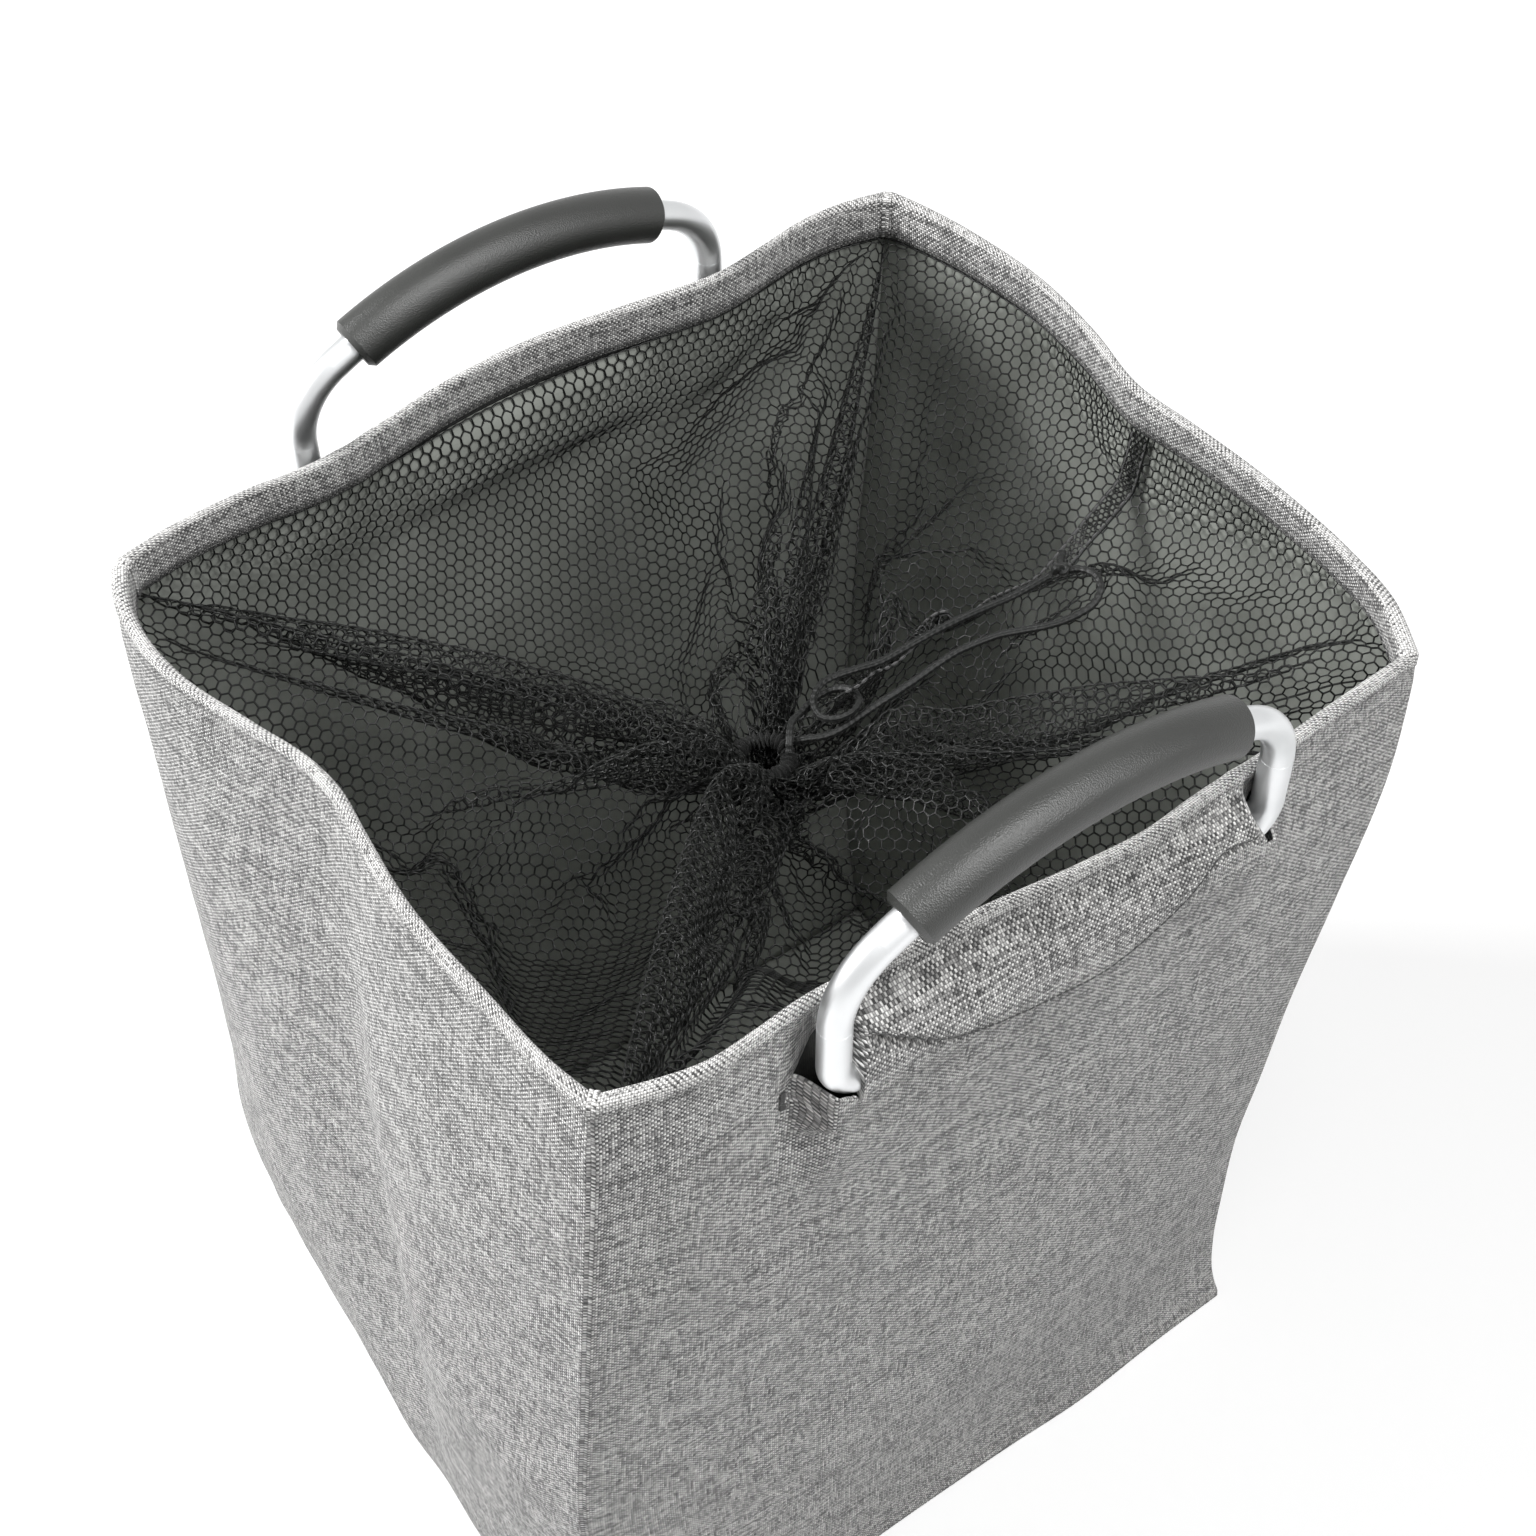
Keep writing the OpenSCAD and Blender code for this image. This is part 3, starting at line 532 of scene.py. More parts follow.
def knot_piece():
    """An overhand knot pulled tight: one cord crossing itself three times, and the
    short tip that the two ends leave behind."""
    turn = np.arange(120) / 120 * TAU
    ball = np.stack([np.sin(turn) + 2 * np.sin(2 * turn), np.cos(turn) - 2 * np.cos(2 * turn),
                     -1.1 * np.sin(3 * turn)], 1) * KNOT_LOOP
    tilt = np.array(Vector((0.2, 0.5, 0.85)).to_track_quat("Z", "Y").to_matrix())
    mesh = swept_mesh("drawcord_end_knot", ball @ tilt.T + KNOT, TIGHT_R, 20,
                      relief=braid, closed=True)
    tip, _ = smooth_route([(151, -25, 510.5), (154, -22.5, 511), (157, -20, 510.6),
                           (159, -18, 509.8)], 0.8 * MM)
    tip_mesh = swept_mesh("tip", tip, CORD_D / 2, 20, relief=braid)
    bm = bmesh.new()
    bm.from_mesh(mesh)
    bm.from_mesh(tip_mesh)
    bm.to_mesh(mesh)
    bm.free()
    bpy.data.meshes.remove(tip_mesh)
    piece = as_piece(mesh, "drawcord_end_knot", cord_braid)
    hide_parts("drawcord_knot")
    return piece


knot = knot_piece()
cord_lines = []
for tail_name, tail_node, tail_route in (("drawcord_end_a", "drawcord_tail_a", TAIL_A),
                                         ("drawcord_end_b", "drawcord_tail_b", TAIL_B)):
    tail, tail_line, tail_length = cord(tail_name, tail_node, tail_route)
    cord_lines.append(tail_line)


# ---- the shape that the soft bag stands in -----------------------------------------

BAG_H = 560.0
HEM_W = 20.0
RIM_R = 3.0
ROLL_STEP = 0.8
BAR_R = 7.0
CLOTH_T = 1.2
BAR_LOW, BAR_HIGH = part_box("front_handle_dowel")
BAR_Y = -(BAR_LOW.y + BAR_HIGH.y) / 2 / MM
BAR_Z = (BAR_LOW.z + BAR_HIGH.z) / 2 / MM
LEG_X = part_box("front_handle_tube")[1].x / MM - BAR_R

# Corner seams, front left, front right, back right, back left: (height, x, y) in mm
CORNERS = [
    [(0, -205.6, -174.5), (60, -211, -171), (110, -217, -168.5), (224, -225, -167.5),
     (330, -221, -172), (441, -216, -177.5), (520, -210, -178), (560, -207, -178)],
    [(0, 204, -174.5), (17, 200.5, -171), (60, 197, -167), (108, 196, -166), (170, 195, -166.5),
     (230, 198, -170), (298, 201.5, -173.3), (379, 207.5, -179.3), (475, 214, -185.5),
     (560, 212, -185.5)],
    [(0, 205.6, 174.5), (60, 203, 183), (150, 200, 188), (300, 203, 189), (450, 211, 188),
     (560, 216, 189)],
    [(0, -205.6, 174.5), (12, -211, 182), (61, -218, 190), (128, -221, 194.5),
     (195, -218, 191), (299, -217, 189), (424, -216.5, 188), (560, -215, 187)],
]
CORNER_RISE = [9.3, -9.3, 6.2, -0.3]
# Outward bow of each wall over its chord at three heights: (share along it, mm)
RIM_BOWS = [
    [(0, 0), (.05, 6), (.10, 10), (.16, 8.5), (.21, 6), (.32, 7), (.43, 9), (.54, 13),
     (.61, 14), (.68, 11), (.82, 7), (.9, 3.6), (1, 0)],
    [(0, 0), (.08, 14), (.17, 19), (.26, 20), (.43, 15), (.52, 11), (.63, 18), (.75, 21),
     (.84, 17), (.95, 7), (1, 0)],
    [(0, 0), (.06, 6), (.11, 7), (.17, 3.5), (.24, 0), (.33, 5), (.43, 12), (.52, 14.5),
     (.6, 12), (.68, 6), (.76, 2), (.84, 5), (.93, 5), (1, 0)],
    [(0, 0), (.05, 9), (.14, 15), (.21, 14), (.33, 4), (.42, -4), (.48, -5), (.55, -1),
     (.67, 5), (.82, 5), (.95, 3), (1, 0)],
]
MID_BOWS = [
    [(0, 0), (.08, 6), (.2, 11), (.35, 15), (.5, 17), (.65, 17), (.8, 14), (.92, 8), (1, 0)],
    [(0, 0), (.1, 10), (.25, 15), (.4, 9), (.5, 2), (.6, 9), (.75, 15), (.9, 9), (1, 0)],
    [(0, 0), (.1, 6), (.3, 13), (.5, 16), (.7, 13), (.9, 6), (1, 0)],
    [(0, 0), (.08, 9), (.2, 15), (.31, 11), (.41, 1.5), (.46, -0.5), (.5, 2.5), (.555, 11),
     (.64, 15.5), (.76, 14), (.9, 7), (1, 0)],
]
BASE_BOWS = [
    [(0, 0), (.15, .4), (.45, .3), (.6, 1.5), (.72, 3.5), (.88, 1), (1, 0)],
    [(0, 0), (.25, 5), (.5, 7), (.75, 5), (1, 0)],
    [(0, 0), (.25, 1), (.5, 2), (.75, 1), (1, 0)],
    [(0, 0), (.06, 3), (.14, 6), (.28, 13), (.36, 17), (.45, 17), (.54, 19), (.62, 20),
     (.75, 17), (.9, 8), (1, 0)],
]
# The two walls with a handle carry the channel's ridge between the legs: (height, mm
# from the middle of the bag), drawn for a bar at RIDGE_BAR_Y
RIDGE_BAR_Y = 198.593
RIDGE = [(508, 207.6), (517, 208.4), (524, 208.8), (531, 208.4), (537, 206.8), (544, 203),
         (552, 199), (560, 196)]
# Under that seam the cloth falls back: (distance below, mm)
FALL_BACK = [(0, 0), (4, 3.2), (10, 5.6), (20, 7.6), (32, 8.6), (50, 9.4), (75, 11.0),
             (110, 12.0)]
# The seam that closes the channel hangs in an arc: (distance along it, height)
CREASE = [(-110, 550), (-88, 541), (-64, 528), (-33, 517), (-7, 511), (20, 508), (33, 512),
          (51, 522), (81, 539), (94, 537), (110, 536)]
# Height of a slit's lower lip, and how far the cloth over it arches up: (distance from
# the middle of the wall, mm)
SLIT_LIP = 515.0
SLIT = [(102, 0), (103, 0), (104, 5), (105, 14), (106.5, 23), (108, 27.5), (111, 28),
        (114, 25.5), (117, 20), (120, 13.5), (123, 7), (127, 2), (130, 0), (133, 0)]
# and how far that lower lip rises where it passes in front of the leg
LIP = [(102, 0), (103, 0), (104, 3.5), (106, 6.5), (109, 9), (113, 11), (117, 12),
       (121, 11.5), (125, 8), (128, 3.5), (130, 0), (133, 0)]
HANDLE_WALLS = (0, 2)


def corner(k, z):
    """Place of a corner seam at a height, as x and y in mm."""
    stations = CORNERS[k % 4]
    return np.stack([through([(s[0], s[1]) for s in stations], z),
                     through([(s[0], s[2]) for s in stations], z)], -1)


def rise(k, t, z):
    """How far the uneven rim lifts a point: all of it at the top, none at the slits."""
    lift = CORNER_RISE[k] + (CORNER_RISE[(k + 1) % 4] - CORNER_RISE[k]) * t
    return lift * smooth((z - 520) / 40)


def chord_frame(k, z):
    """A wall's straight chord at a height: its start, its run to the next corner, its
    length and the level direction that points out of the bag."""
    a, b = corner(k, z), corner(k + 1, z)
    run = b - a
    length = np.linalg.norm(run, axis=-1)
    d = run / length[..., None]
    return a, run, length, np.stack([d[..., 1], -d[..., 0]], -1)


def place_on_handle_side(k, t):
    """Distance from the middle of a handle wall, at the height of its bar."""
    a, run, _, _ = chord_frame(k, np.array(BAR_Z))
    x = a[0] + run[0] * t
    return x if k == 0 else -x


def bow(k, t, z):
    """Outward bow of a wall's plain surface over its chord, mm."""
    if k == 3:
        # the fold line of this gusset leans towards the front at the base
        shift = 0.11 * smooth(1 - z / 560)
        t = np.where(t < 0.46 + shift, t * 0.46 / (0.46 + shift),
                     0.46 + (t - 0.46 - shift) * 0.54 / (0.54 - shift))
    top, mid, low = (through(table[k], t) for table in (RIM_BOWS, MID_BOWS, BASE_BOWS))
    up = smooth((z - 340) / 205)
    down = smooth(1 - z / 190)
    return top * up + mid * (1 - up) * (1 - down) + low * down * (1 - up)


def lip_share(x, z, lower):
    """1 where the lower lip of a slit stands in front of the handle's leg."""
    across = smooth((np.abs(x) - 103) / 3) * smooth((123 - np.abs(x)) / 9)
    return across * smooth((z - 486) / 22) * lower


def crease_depth(x, z):
    """How deep the channel's seam draws the cloth in, mm. Above the seam the cloth
    stands out as a brow over it."""
    middle = through(CREASE, x)
    ends = smooth((x + 102) / 14) * smooth((106 - x) / 12)
    brow = 3.0 * smooth((z - middle + 0.7) / 1.4) * smooth((middle + 26 - z) / 26)
    return (4.5 * np.exp(-((z - middle + 1.4) / 1.7)**2) - brow) * ends


def ridge_share(a, z):
    """1 where the ridge of the channel stands full, 0 past the slits."""
    # (height, distance from the middle where it starts to fade, and where it ends)
    keys = [(0, 99, 130), (512, 99, 130), (520, 103.5, 107), (531, 103, 106.5),
            (543, 97, 104.5), (700, 95, 104.5)]
    zs = [q[0] for q in keys]
    start = np.interp(z, zs, [q[1] for q in keys])
    end = np.interp(z, zs, [q[2] for q in keys])
    return 1 - smooth((a - start) / (end - start))


def wall(k, t, z, depth=0.0, plain=False, crumple=0.0, lifted=True, lower=0.0,
         leaf=False):
    """Points of a wall in metres: share t along it, height z in mm, depth under its
    outer face in mm. A plain layer has no channel ridge; lower is 1 on the cloth
    under the slits, leaf is true on the roll of the rim and what hangs from it."""
    t, z, depth = np.broadcast_arrays(np.asarray(t, float), np.asarray(z, float),
                                      np.asarray(depth, float))
    top = np.where(leaf, BAG_H - RIM_R, np.minimum(z, BAG_H - RIM_R))
    a, run, length, out = chord_frame(k, top)
    inset = depth / length
    share = inset + t * (1 - 2 * inset)
    o = bow(k, t, top)
    if k in HANDLE_WALLS:
        x = place_on_handle_side(k, t)
        middle = np.abs(((a + run * share[..., None]) * out).sum(-1))
        reach = middle + o
        # inside the channel the layers lie behind the bar
        behind = BAR_Y - BAR_R + 0.7
        held = smooth((top - 490) / 16) * smooth((540 - top) / 8)
        held = held * smooth((132 - np.abs(x)) / 14)
        reach = reach - np.maximum(0, reach - behind) * held
        # and the rim stands behind the legs
        apart = np.abs(np.abs(x) - LEG_X)
        reach_past, fade = (16, 6) if k == 0 else (28, 18)
        legs = smooth((top - 527) / 6) * smooth((reach_past - apart) / fade)
        reach = reach - np.maximum(0, reach - (BAR_Y - BAR_R - 1.0)) * legs
        if not plain:
            brow = np.minimum(through(CREASE, x), 515)
            ridge = through(RIDGE, np.maximum(top, brow)) + BAR_Y - RIDGE_BAR_Y
            ridge = ridge - through(FALL_BACK, brow - top) - crease_depth(x, top)
            over_bar = np.maximum(0, (BAR_R + CLOTH_T + 0.2)**2 - (top - BAR_Z)**2)**0.5
            ridge = np.maximum(ridge, BAR_Y + over_bar)
            share_full = smooth((top - 420) / 55) * smooth((BAG_H - RIM_R - top) / 12)
            share_full = share_full * ridge_share(np.abs(x), top)
            reach = reach + (ridge - reach) * share_full
            lip_reach = BAR_Y + np.where(x > 0, 5.0, 10.0)
            reach = reach + (lip_reach - reach) * lip_share(x, top, lower)
        o = reach - middle
    edge = np.minimum(t, 1 - t) * length
    if not plain:
        o = o - 3.0 * np.exp(-(edge / 1.4)**2)
        under_roll = smooth((BAG_H - 5.5 - z) / 1.5) * smooth((z - BAG_H + 26) / 16)
        o = o - ROLL_STEP * under_roll
    o = o + crumple - depth
    flat = (a + run * share[..., None] + out * o[..., None])
    height = z + (rise(k, t, z) if lifted else 0)
    return np.concatenate([flat, height[..., None]], -1) * MM


def share_at(k, x):
    """The share along a handle wall of a distance from its middle, in mm."""
    x0, x1 = (float(place_on_handle_side(k, np.array(end))) for end in (0.0, 1.0))
    return (x - x0) / (x1 - x0)


def steps_between(stops):
    """Places from (place, spacing) stops: each stretch in equal steps."""
    out = [stops[0][0]]
    for (a, gap), (b, _) in zip(stops, stops[1:]):
        n = max(1, round((b - a) / gap))
        out += list(a + (b - a) * np.arange(1, n + 1) / n)
    return np.array(out)


WALL_NAMES = ["front", "right", "back", "left"]
WALL_NODES = [("front_panel", "front_bartacks"), ("right_gusset",),
              ("back_panel", "back_bartacks"), ("left_gusset",)]


def outer_wall(k):
    """One wall of outer cloth: up from the base, over the rolled rim and down again
    inside as the hem, in one piece."""
    handle = k in HANDLE_WALLS
    length = float(chord_frame(k, np.array(BAR_Z))[2])
    marks = []
    if handle:
        marks = [(share_at(k, x) * length, gap)
                 for x, gap in ((-136, 1.0), (-92, 3), (92, 1.0), (136, 2.6))]
    t = steps_between([(0, 0.7), (5, 2.6)] + marks + [(length - 5, 0.7), (length, 1)]) / length
    up = steps_between([(0, 3), (12, 7), (460, 3), (500, 1.25), (SLIT_LIP, 1.25)])
    over = steps_between([(SLIT_LIP, 1.25), (BAG_H - RIM_R, 1)])
    if not handle:
        over = over[1:]
    roll = np.radians(np.arange(22.5, 181, 22.5))
    heights = np.concatenate([up, over, BAG_H - RIM_R + RIM_R * np.sin(roll),
                              [BAG_H - 8, BAG_H - 14, BAG_H - HEM_W]])
    depths = np.concatenate([np.zeros(len(up) + len(over)), RIM_R * (1 - np.cos(roll)),
                             [2 * RIM_R] * 3])
    T, Z = np.meshgrid(t, heights)
    D = np.repeat(depths[:, None], len(t), 1)
    first_over = len(up)
    lifted = Z.copy()
    lower = np.zeros_like(Z)
    keep = None
    if handle:
        x = np.abs(place_on_handle_side(k, t))
        slit_x = (x > 102) & (x < 133)
        arch = np.where(slit_x, np.maximum(0, through(SLIT, x)), 0)
        lip_rise = np.where(slit_x, np.maximum(0, through(LIP, x)), 0)
        # one slit is pulled tight round its leg
        tight = place_on_handle_side(k, t) > 0
        arch = arch * (1 - 0.9 * tight * smooth((x - 112) / 6))
        lip_rise = lip_rise * (1 - 0.85 * tight)
        lower[:first_over] = 1
        lifted[:first_over] += lip_rise * smooth((Z[:first_over] - 490) / 25)
        span = BAG_H - RIM_R - SLIT_LIP
        band = slice(first_over, first_over + len(over))
        lifted[band] += arch * (1 - (Z[band] - SLIT_LIP) / span)
        keep = np.ones((len(heights) - 1, len(t) - 1), bool)
        keep[first_over - 1] = False
    U = T * length * MM
    rise_up = Z * MM + D * MM * 2
    outside = D == 0
    crumple = (1.5 * ripple(U, rise_up * 0.6, 0.085, 3.1 + k)
               + 0.55 * ripple(U, rise_up, 0.03, 7.7 + k))
    crumple = crumple * smooth(np.minimum(T, 1 - T) * length / 22) * smooth(lifted / 25)
    crumple = crumple * (1 - 0.75 * smooth((lifted - 470) / 40))
    crumple = np.where(outside, crumple, crumple[first_over + len(over) - 1][None])
    points = wall(k, T, lifted, D, crumple=crumple, lower=lower, leaf=D > 0)
    # v is 0 where the roll starts; it grows by a row's usual step, and on the raised
    # lips by each thread's own
    steps = np.linalg.norm(np.diff(points, axis=0), axis=2)
    usual = np.median(steps, axis=1)
    V = np.concatenate([[0], np.cumsum(usual)])
    V = np.repeat((V - V[first_over + len(over) - 1])[:, None], len(t), 1)
    if handle:
        near_lip = (heights[:first_over - 1] > 486)[:, None]
        own = (steps - usual[:, None])[:first_over - 1] * near_lip
        own = np.cumsum(own, axis=0) * smooth((x - 99) / 4) * smooth((137 - x) / 4)
        V[1:first_over] += own
    uv = np.stack([U + 0.5 * k, V], -1)
    name = WALL_NAMES[k] + "_wall"
    mesh = cloth_mesh(name, points, uv, keep=keep)
    piece = as_piece(mesh, name, linen)
    solid_cloth(piece, CLOTH_T * MM)
    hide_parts(*WALL_NODES[k])
    return piece


def wall_layer(name, k, t, z, depth, thickness, material, nodes, wave=0.0):
    """A layer inside a wall: lining, tape or strip."""
    T, Z = np.meshgrid(t, z)
    length = float(chord_frame(k, np.array(BAR_Z))[2]) * MM
    fold = 0.0
    if wave:
        fold = -wave * (0.5 + 0.5 * ripple(T * length, Z * MM * 0.45, 0.05, 21 + k))
        fold = fold * smooth(np.minimum(T, 1 - T) * length / 0.02) * smooth((545 - Z) / 40)
    points = wall(k, T, Z, depth, plain=True, crumple=fold)
    uv = np.stack([T * length + 0.7 * k, Z * MM], -1)
    mesh = cloth_mesh(name, points, uv)
    piece = as_piece(mesh, name, material)
    solid_cloth(piece, thickness)
    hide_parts(*nodes)
    return piece


for side in range(4):
    outer_wall(side)

TAPE_DEPTH, LINING_DEPTH, HEADER_DEPTH = 1.5, 2.8, 3.7
LINING_T = 0.6
for side, wall_name in enumerate(WALL_NAMES):
    wall_layer(wall_name + "_lining_sheet", side, np.linspace(0, 1, 120),
               steps_between([(8, 6), (540, 3), (552, 1)]), LINING_DEPTH, LINING_T * MM,
               lining, [wall_name + "_lining"], wave=4.0)
    wall_layer(wall_name + "_net_header", side, np.linspace(0, 1, 90),
               np.array([537.5, 547, 553]), HEADER_DEPTH, 0.8 * MM, binding_cloth,
               ["net_header"])
    if side in HANDLE_WALLS:
        side_t = np.linspace(0, 1, 120)
        inside = side_t[np.abs(place_on_handle_side(side, side_t)) < 129]
        # the channel strip's dark tape paints the shade seen inside the slits
        wall_layer(wall_name + "_channel_strip", side, inside, np.linspace(498, 549, 30),
                   TAPE_DEPTH, 1.0 * MM, tape_cloth, [wall_name + "_channel"])
        for end, seam_node in ((0, "left"), (1, "right")):
            other = end if side == 0 else 1 - end
            tape_t = np.linspace(0, 0.032, 5) if other == 0 else np.linspace(0.968, 1, 5)
            wall_layer(f"{wall_name}_{seam_node}_seam_tape", side, tape_t,
                       np.linspace(8, 553, 100), TAPE_DEPTH, 1.0 * MM, tape_cloth,
                       [f"{wall_name}_{seam_node}_seam"])


def across_base(z, inset, count=60):
    """A grid of points spanning the four walls at one height near the floor."""
    t = np.linspace(0, 1, count)
    front, right, back, left = (wall(k, t, z, inset, plain=True, lifted=False) for k in range(4))
    back, left = back[::-1], left[::-1]
    s = t[:, None, None]
    u = t[None, :, None]
    grid = (front[None] * (1 - s) + back[None] * s + left[:, None] * (1 - u)
            + right[:, None] * u)
    ends = (front[0] * (1 - s) * (1 - u) + front[-1] * (1 - s) * u
            + back[0] * s * (1 - u) + back[-1] * s * u)
    return grid - ends


def base_sheet(name, z, inset, thickness, material, node, give):
    """A sheet that lies flat in the bottom of the bag."""
    points = across_base(z, inset)
    points[..., 2] = z * MM
    uv = points[..., :2].copy()
    edge = np.linspace(0, 1, points.shape[0])
    inner = smooth(np.minimum(edge, 1 - edge) / 0.15)
    points[..., 2] += give * (0.5 + 0.5 * ripple(uv[..., 0], uv[..., 1], 0.09, 40.0)) \
        * inner[:, None] * inner[None] * MM
    piece = as_piece(cloth_mesh(name, points, uv), name, material)
    solid_cloth(piece, thickness)
    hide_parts(node)


base_sheet("base_cloth", 1.2, 1.5, CLOTH_T * MM, linen, "base_panel",
           0.0)
base_sheet("base_lining_sheet", 6.9, 3.2, LINING_T * MM, lining,
           "base_lining", 2.5)


def base_seam_tape():
    """The tape that binds the seam between the base and the walls, all round."""
    insets = np.array([1.6, 5.0, 9.0, 13.0])
    t = np.linspace(0, 1, 80, endpoint=False)
    points = np.stack([np.concatenate([wall(k, t, 2.5, i, plain=True, lifted=False)
                                       for k in range(4)]) for i in insets])
    points[..., 2] = 2.5 * MM
    loop = np.linalg.norm(np.roll(points[0], -1, axis=0) - points[0], axis=1)
    run = np.concatenate([[0], np.cumsum(loop)])
    uv = np.stack([np.repeat(run[None], len(insets), 0),
                   np.repeat(insets[:, None] * MM, len(run), 1)], -1)
    piece = as_piece(cloth_mesh("base_seam_tape", points, uv, ring=True), "base_seam_tape",
                     tape_cloth)
    solid_cloth(piece, 0.8 * MM)
    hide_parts("base_binding")


base_seam_tape()


# ---- stitching ----------------------------------------------------------------------

def stitches(name, line, length, gap, radius, body="bag"):
    """A row of thread stitches laid along a line of points."""
    run = np.concatenate([[0], np.cumsum(np.linalg.norm(np.diff(line, axis=0), axis=1))])
    count = int(run[-1] / (length + gap))
    starts = np.arange(count) * (length + gap)
    bm = bmesh.new()
    for start in starts:
        ends = [Vector([float(np.interp(start + d, run, line[:, i])) for i in range(3)])
                for d in (0, length)]
        way = ends[1] - ends[0]
        turn = way.to_track_quat("Z", "Y").to_matrix().to_4x4()
        made = bmesh.ops.create_uvsphere(bm, u_segments=6, v_segments=4, radius=radius)
        bmesh.ops.scale(bm, vec=(1, 1, way.length / 2 / radius), verts=made["verts"])
        bmesh.ops.transform(bm, matrix=Matrix.Translation((ends[0] + ends[1]) / 2) @ turn,
                            verts=made["verts"])
    mesh = bpy.data.meshes.new(name)
    bm.to_mesh(mesh)
    bm.free()
    return as_piece(mesh, name, thread, body=body)


for side, wall_name in enumerate(WALL_NAMES):
    along = np.linspace(0.004, 0.996, 300)
    stitches(wall_name + "_hem_stitches", wall(side, along, 543.0, 2 * RIM_R + 0.15, leaf=True),
             3.0 * MM, 1.6 * MM, 0.6 * MM)


def bartack(side, end):
    """Bartack beside a handle's slit: zigzag thread that locks its outer end."""
    x = np.where(np.arange(22) % 2, 125.0, 127.6) * end
    z = np.linspace(509, 519, 22)
    line = wall(side, share_at(side, x), z, -0.45, lower=1.0)
    name = f"{WALL_NAMES[side]}_{'left' if end < 0 else 'right'}_bartack"
    mesh = swept_mesh(name, smooth_route(line / MM, 0.5 * MM)[0], 0.38 * MM, 6)
    return as_piece(mesh, name, thread)


def channel_stitches_shadow_line(side):
    """The row of dark stitches that closes a handle's channel, at the edge of its brow.
    Laid almost end to end, they also paint the thin shadow line under the brow.
    """
    x = np.linspace(-96, 99, 400)
    line = wall(side, share_at(side, x), through(CREASE, x) + 1.7, -0.1)
    return stitches(WALL_NAMES[side] + "_channel_stitches_shadow_line", line, 3.4 * MM, 0.3 * MM, 0.45 * MM)


for side in HANDLE_WALLS:
    channel_stitches_shadow_line(side)
    for end in (-1, 1):
        bartack(side, end)


# ---- the net cover -----------------------------------------------------------------

NET_CUT_H = 0.285
NET_TOP_Z = BAG_H - HEM_W - 1.0
NET_DEPTH = 4.2
NET_COLS, NET_ROWS = 208, 38
GATHER_LOW, GATHER_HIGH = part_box("gather_casing")
GATHER_R = 12 * MM
GATHER_Z = (GATHER_LOW.z + GATHER_HIGH.z) / 2
PLEATS = 26
HEX_PITCH = 5.8 * MM
# drawn a little thicker than the real thread, so that it shows unbroken
THREAD_D = 1.1 * MM
SEAM_W, SEAM_PITCH = 10.2 * MM, 2.6 * MM
DRAWN_IN, SETTLED, QUICK_STOP = 45, 80, 6


def net_edge():
    """Evenly spaced points round the bag where the net is sewn in, the share of the way
    round at which each wall starts, and the whole way round."""
    t = np.linspace(0, 1, 200, endpoint=False)
    line = np.concatenate([wall(k, t, NET_TOP_Z, NET_DEPTH, plain=True) for k in range(4)])
    gaps = np.linalg.norm(np.roll(line, -1, axis=0) - line, axis=1)
    run = np.concatenate([[0], np.cumsum(gaps)])
    closed = np.vstack([line, line[:1]])
    want = np.arange(NET_COLS) / NET_COLS * run[-1]
    points = np.stack([np.interp(want, run, closed[:, i]) for i in range(3)], 1)
    return points, run[::200] / run[-1], run[-1]


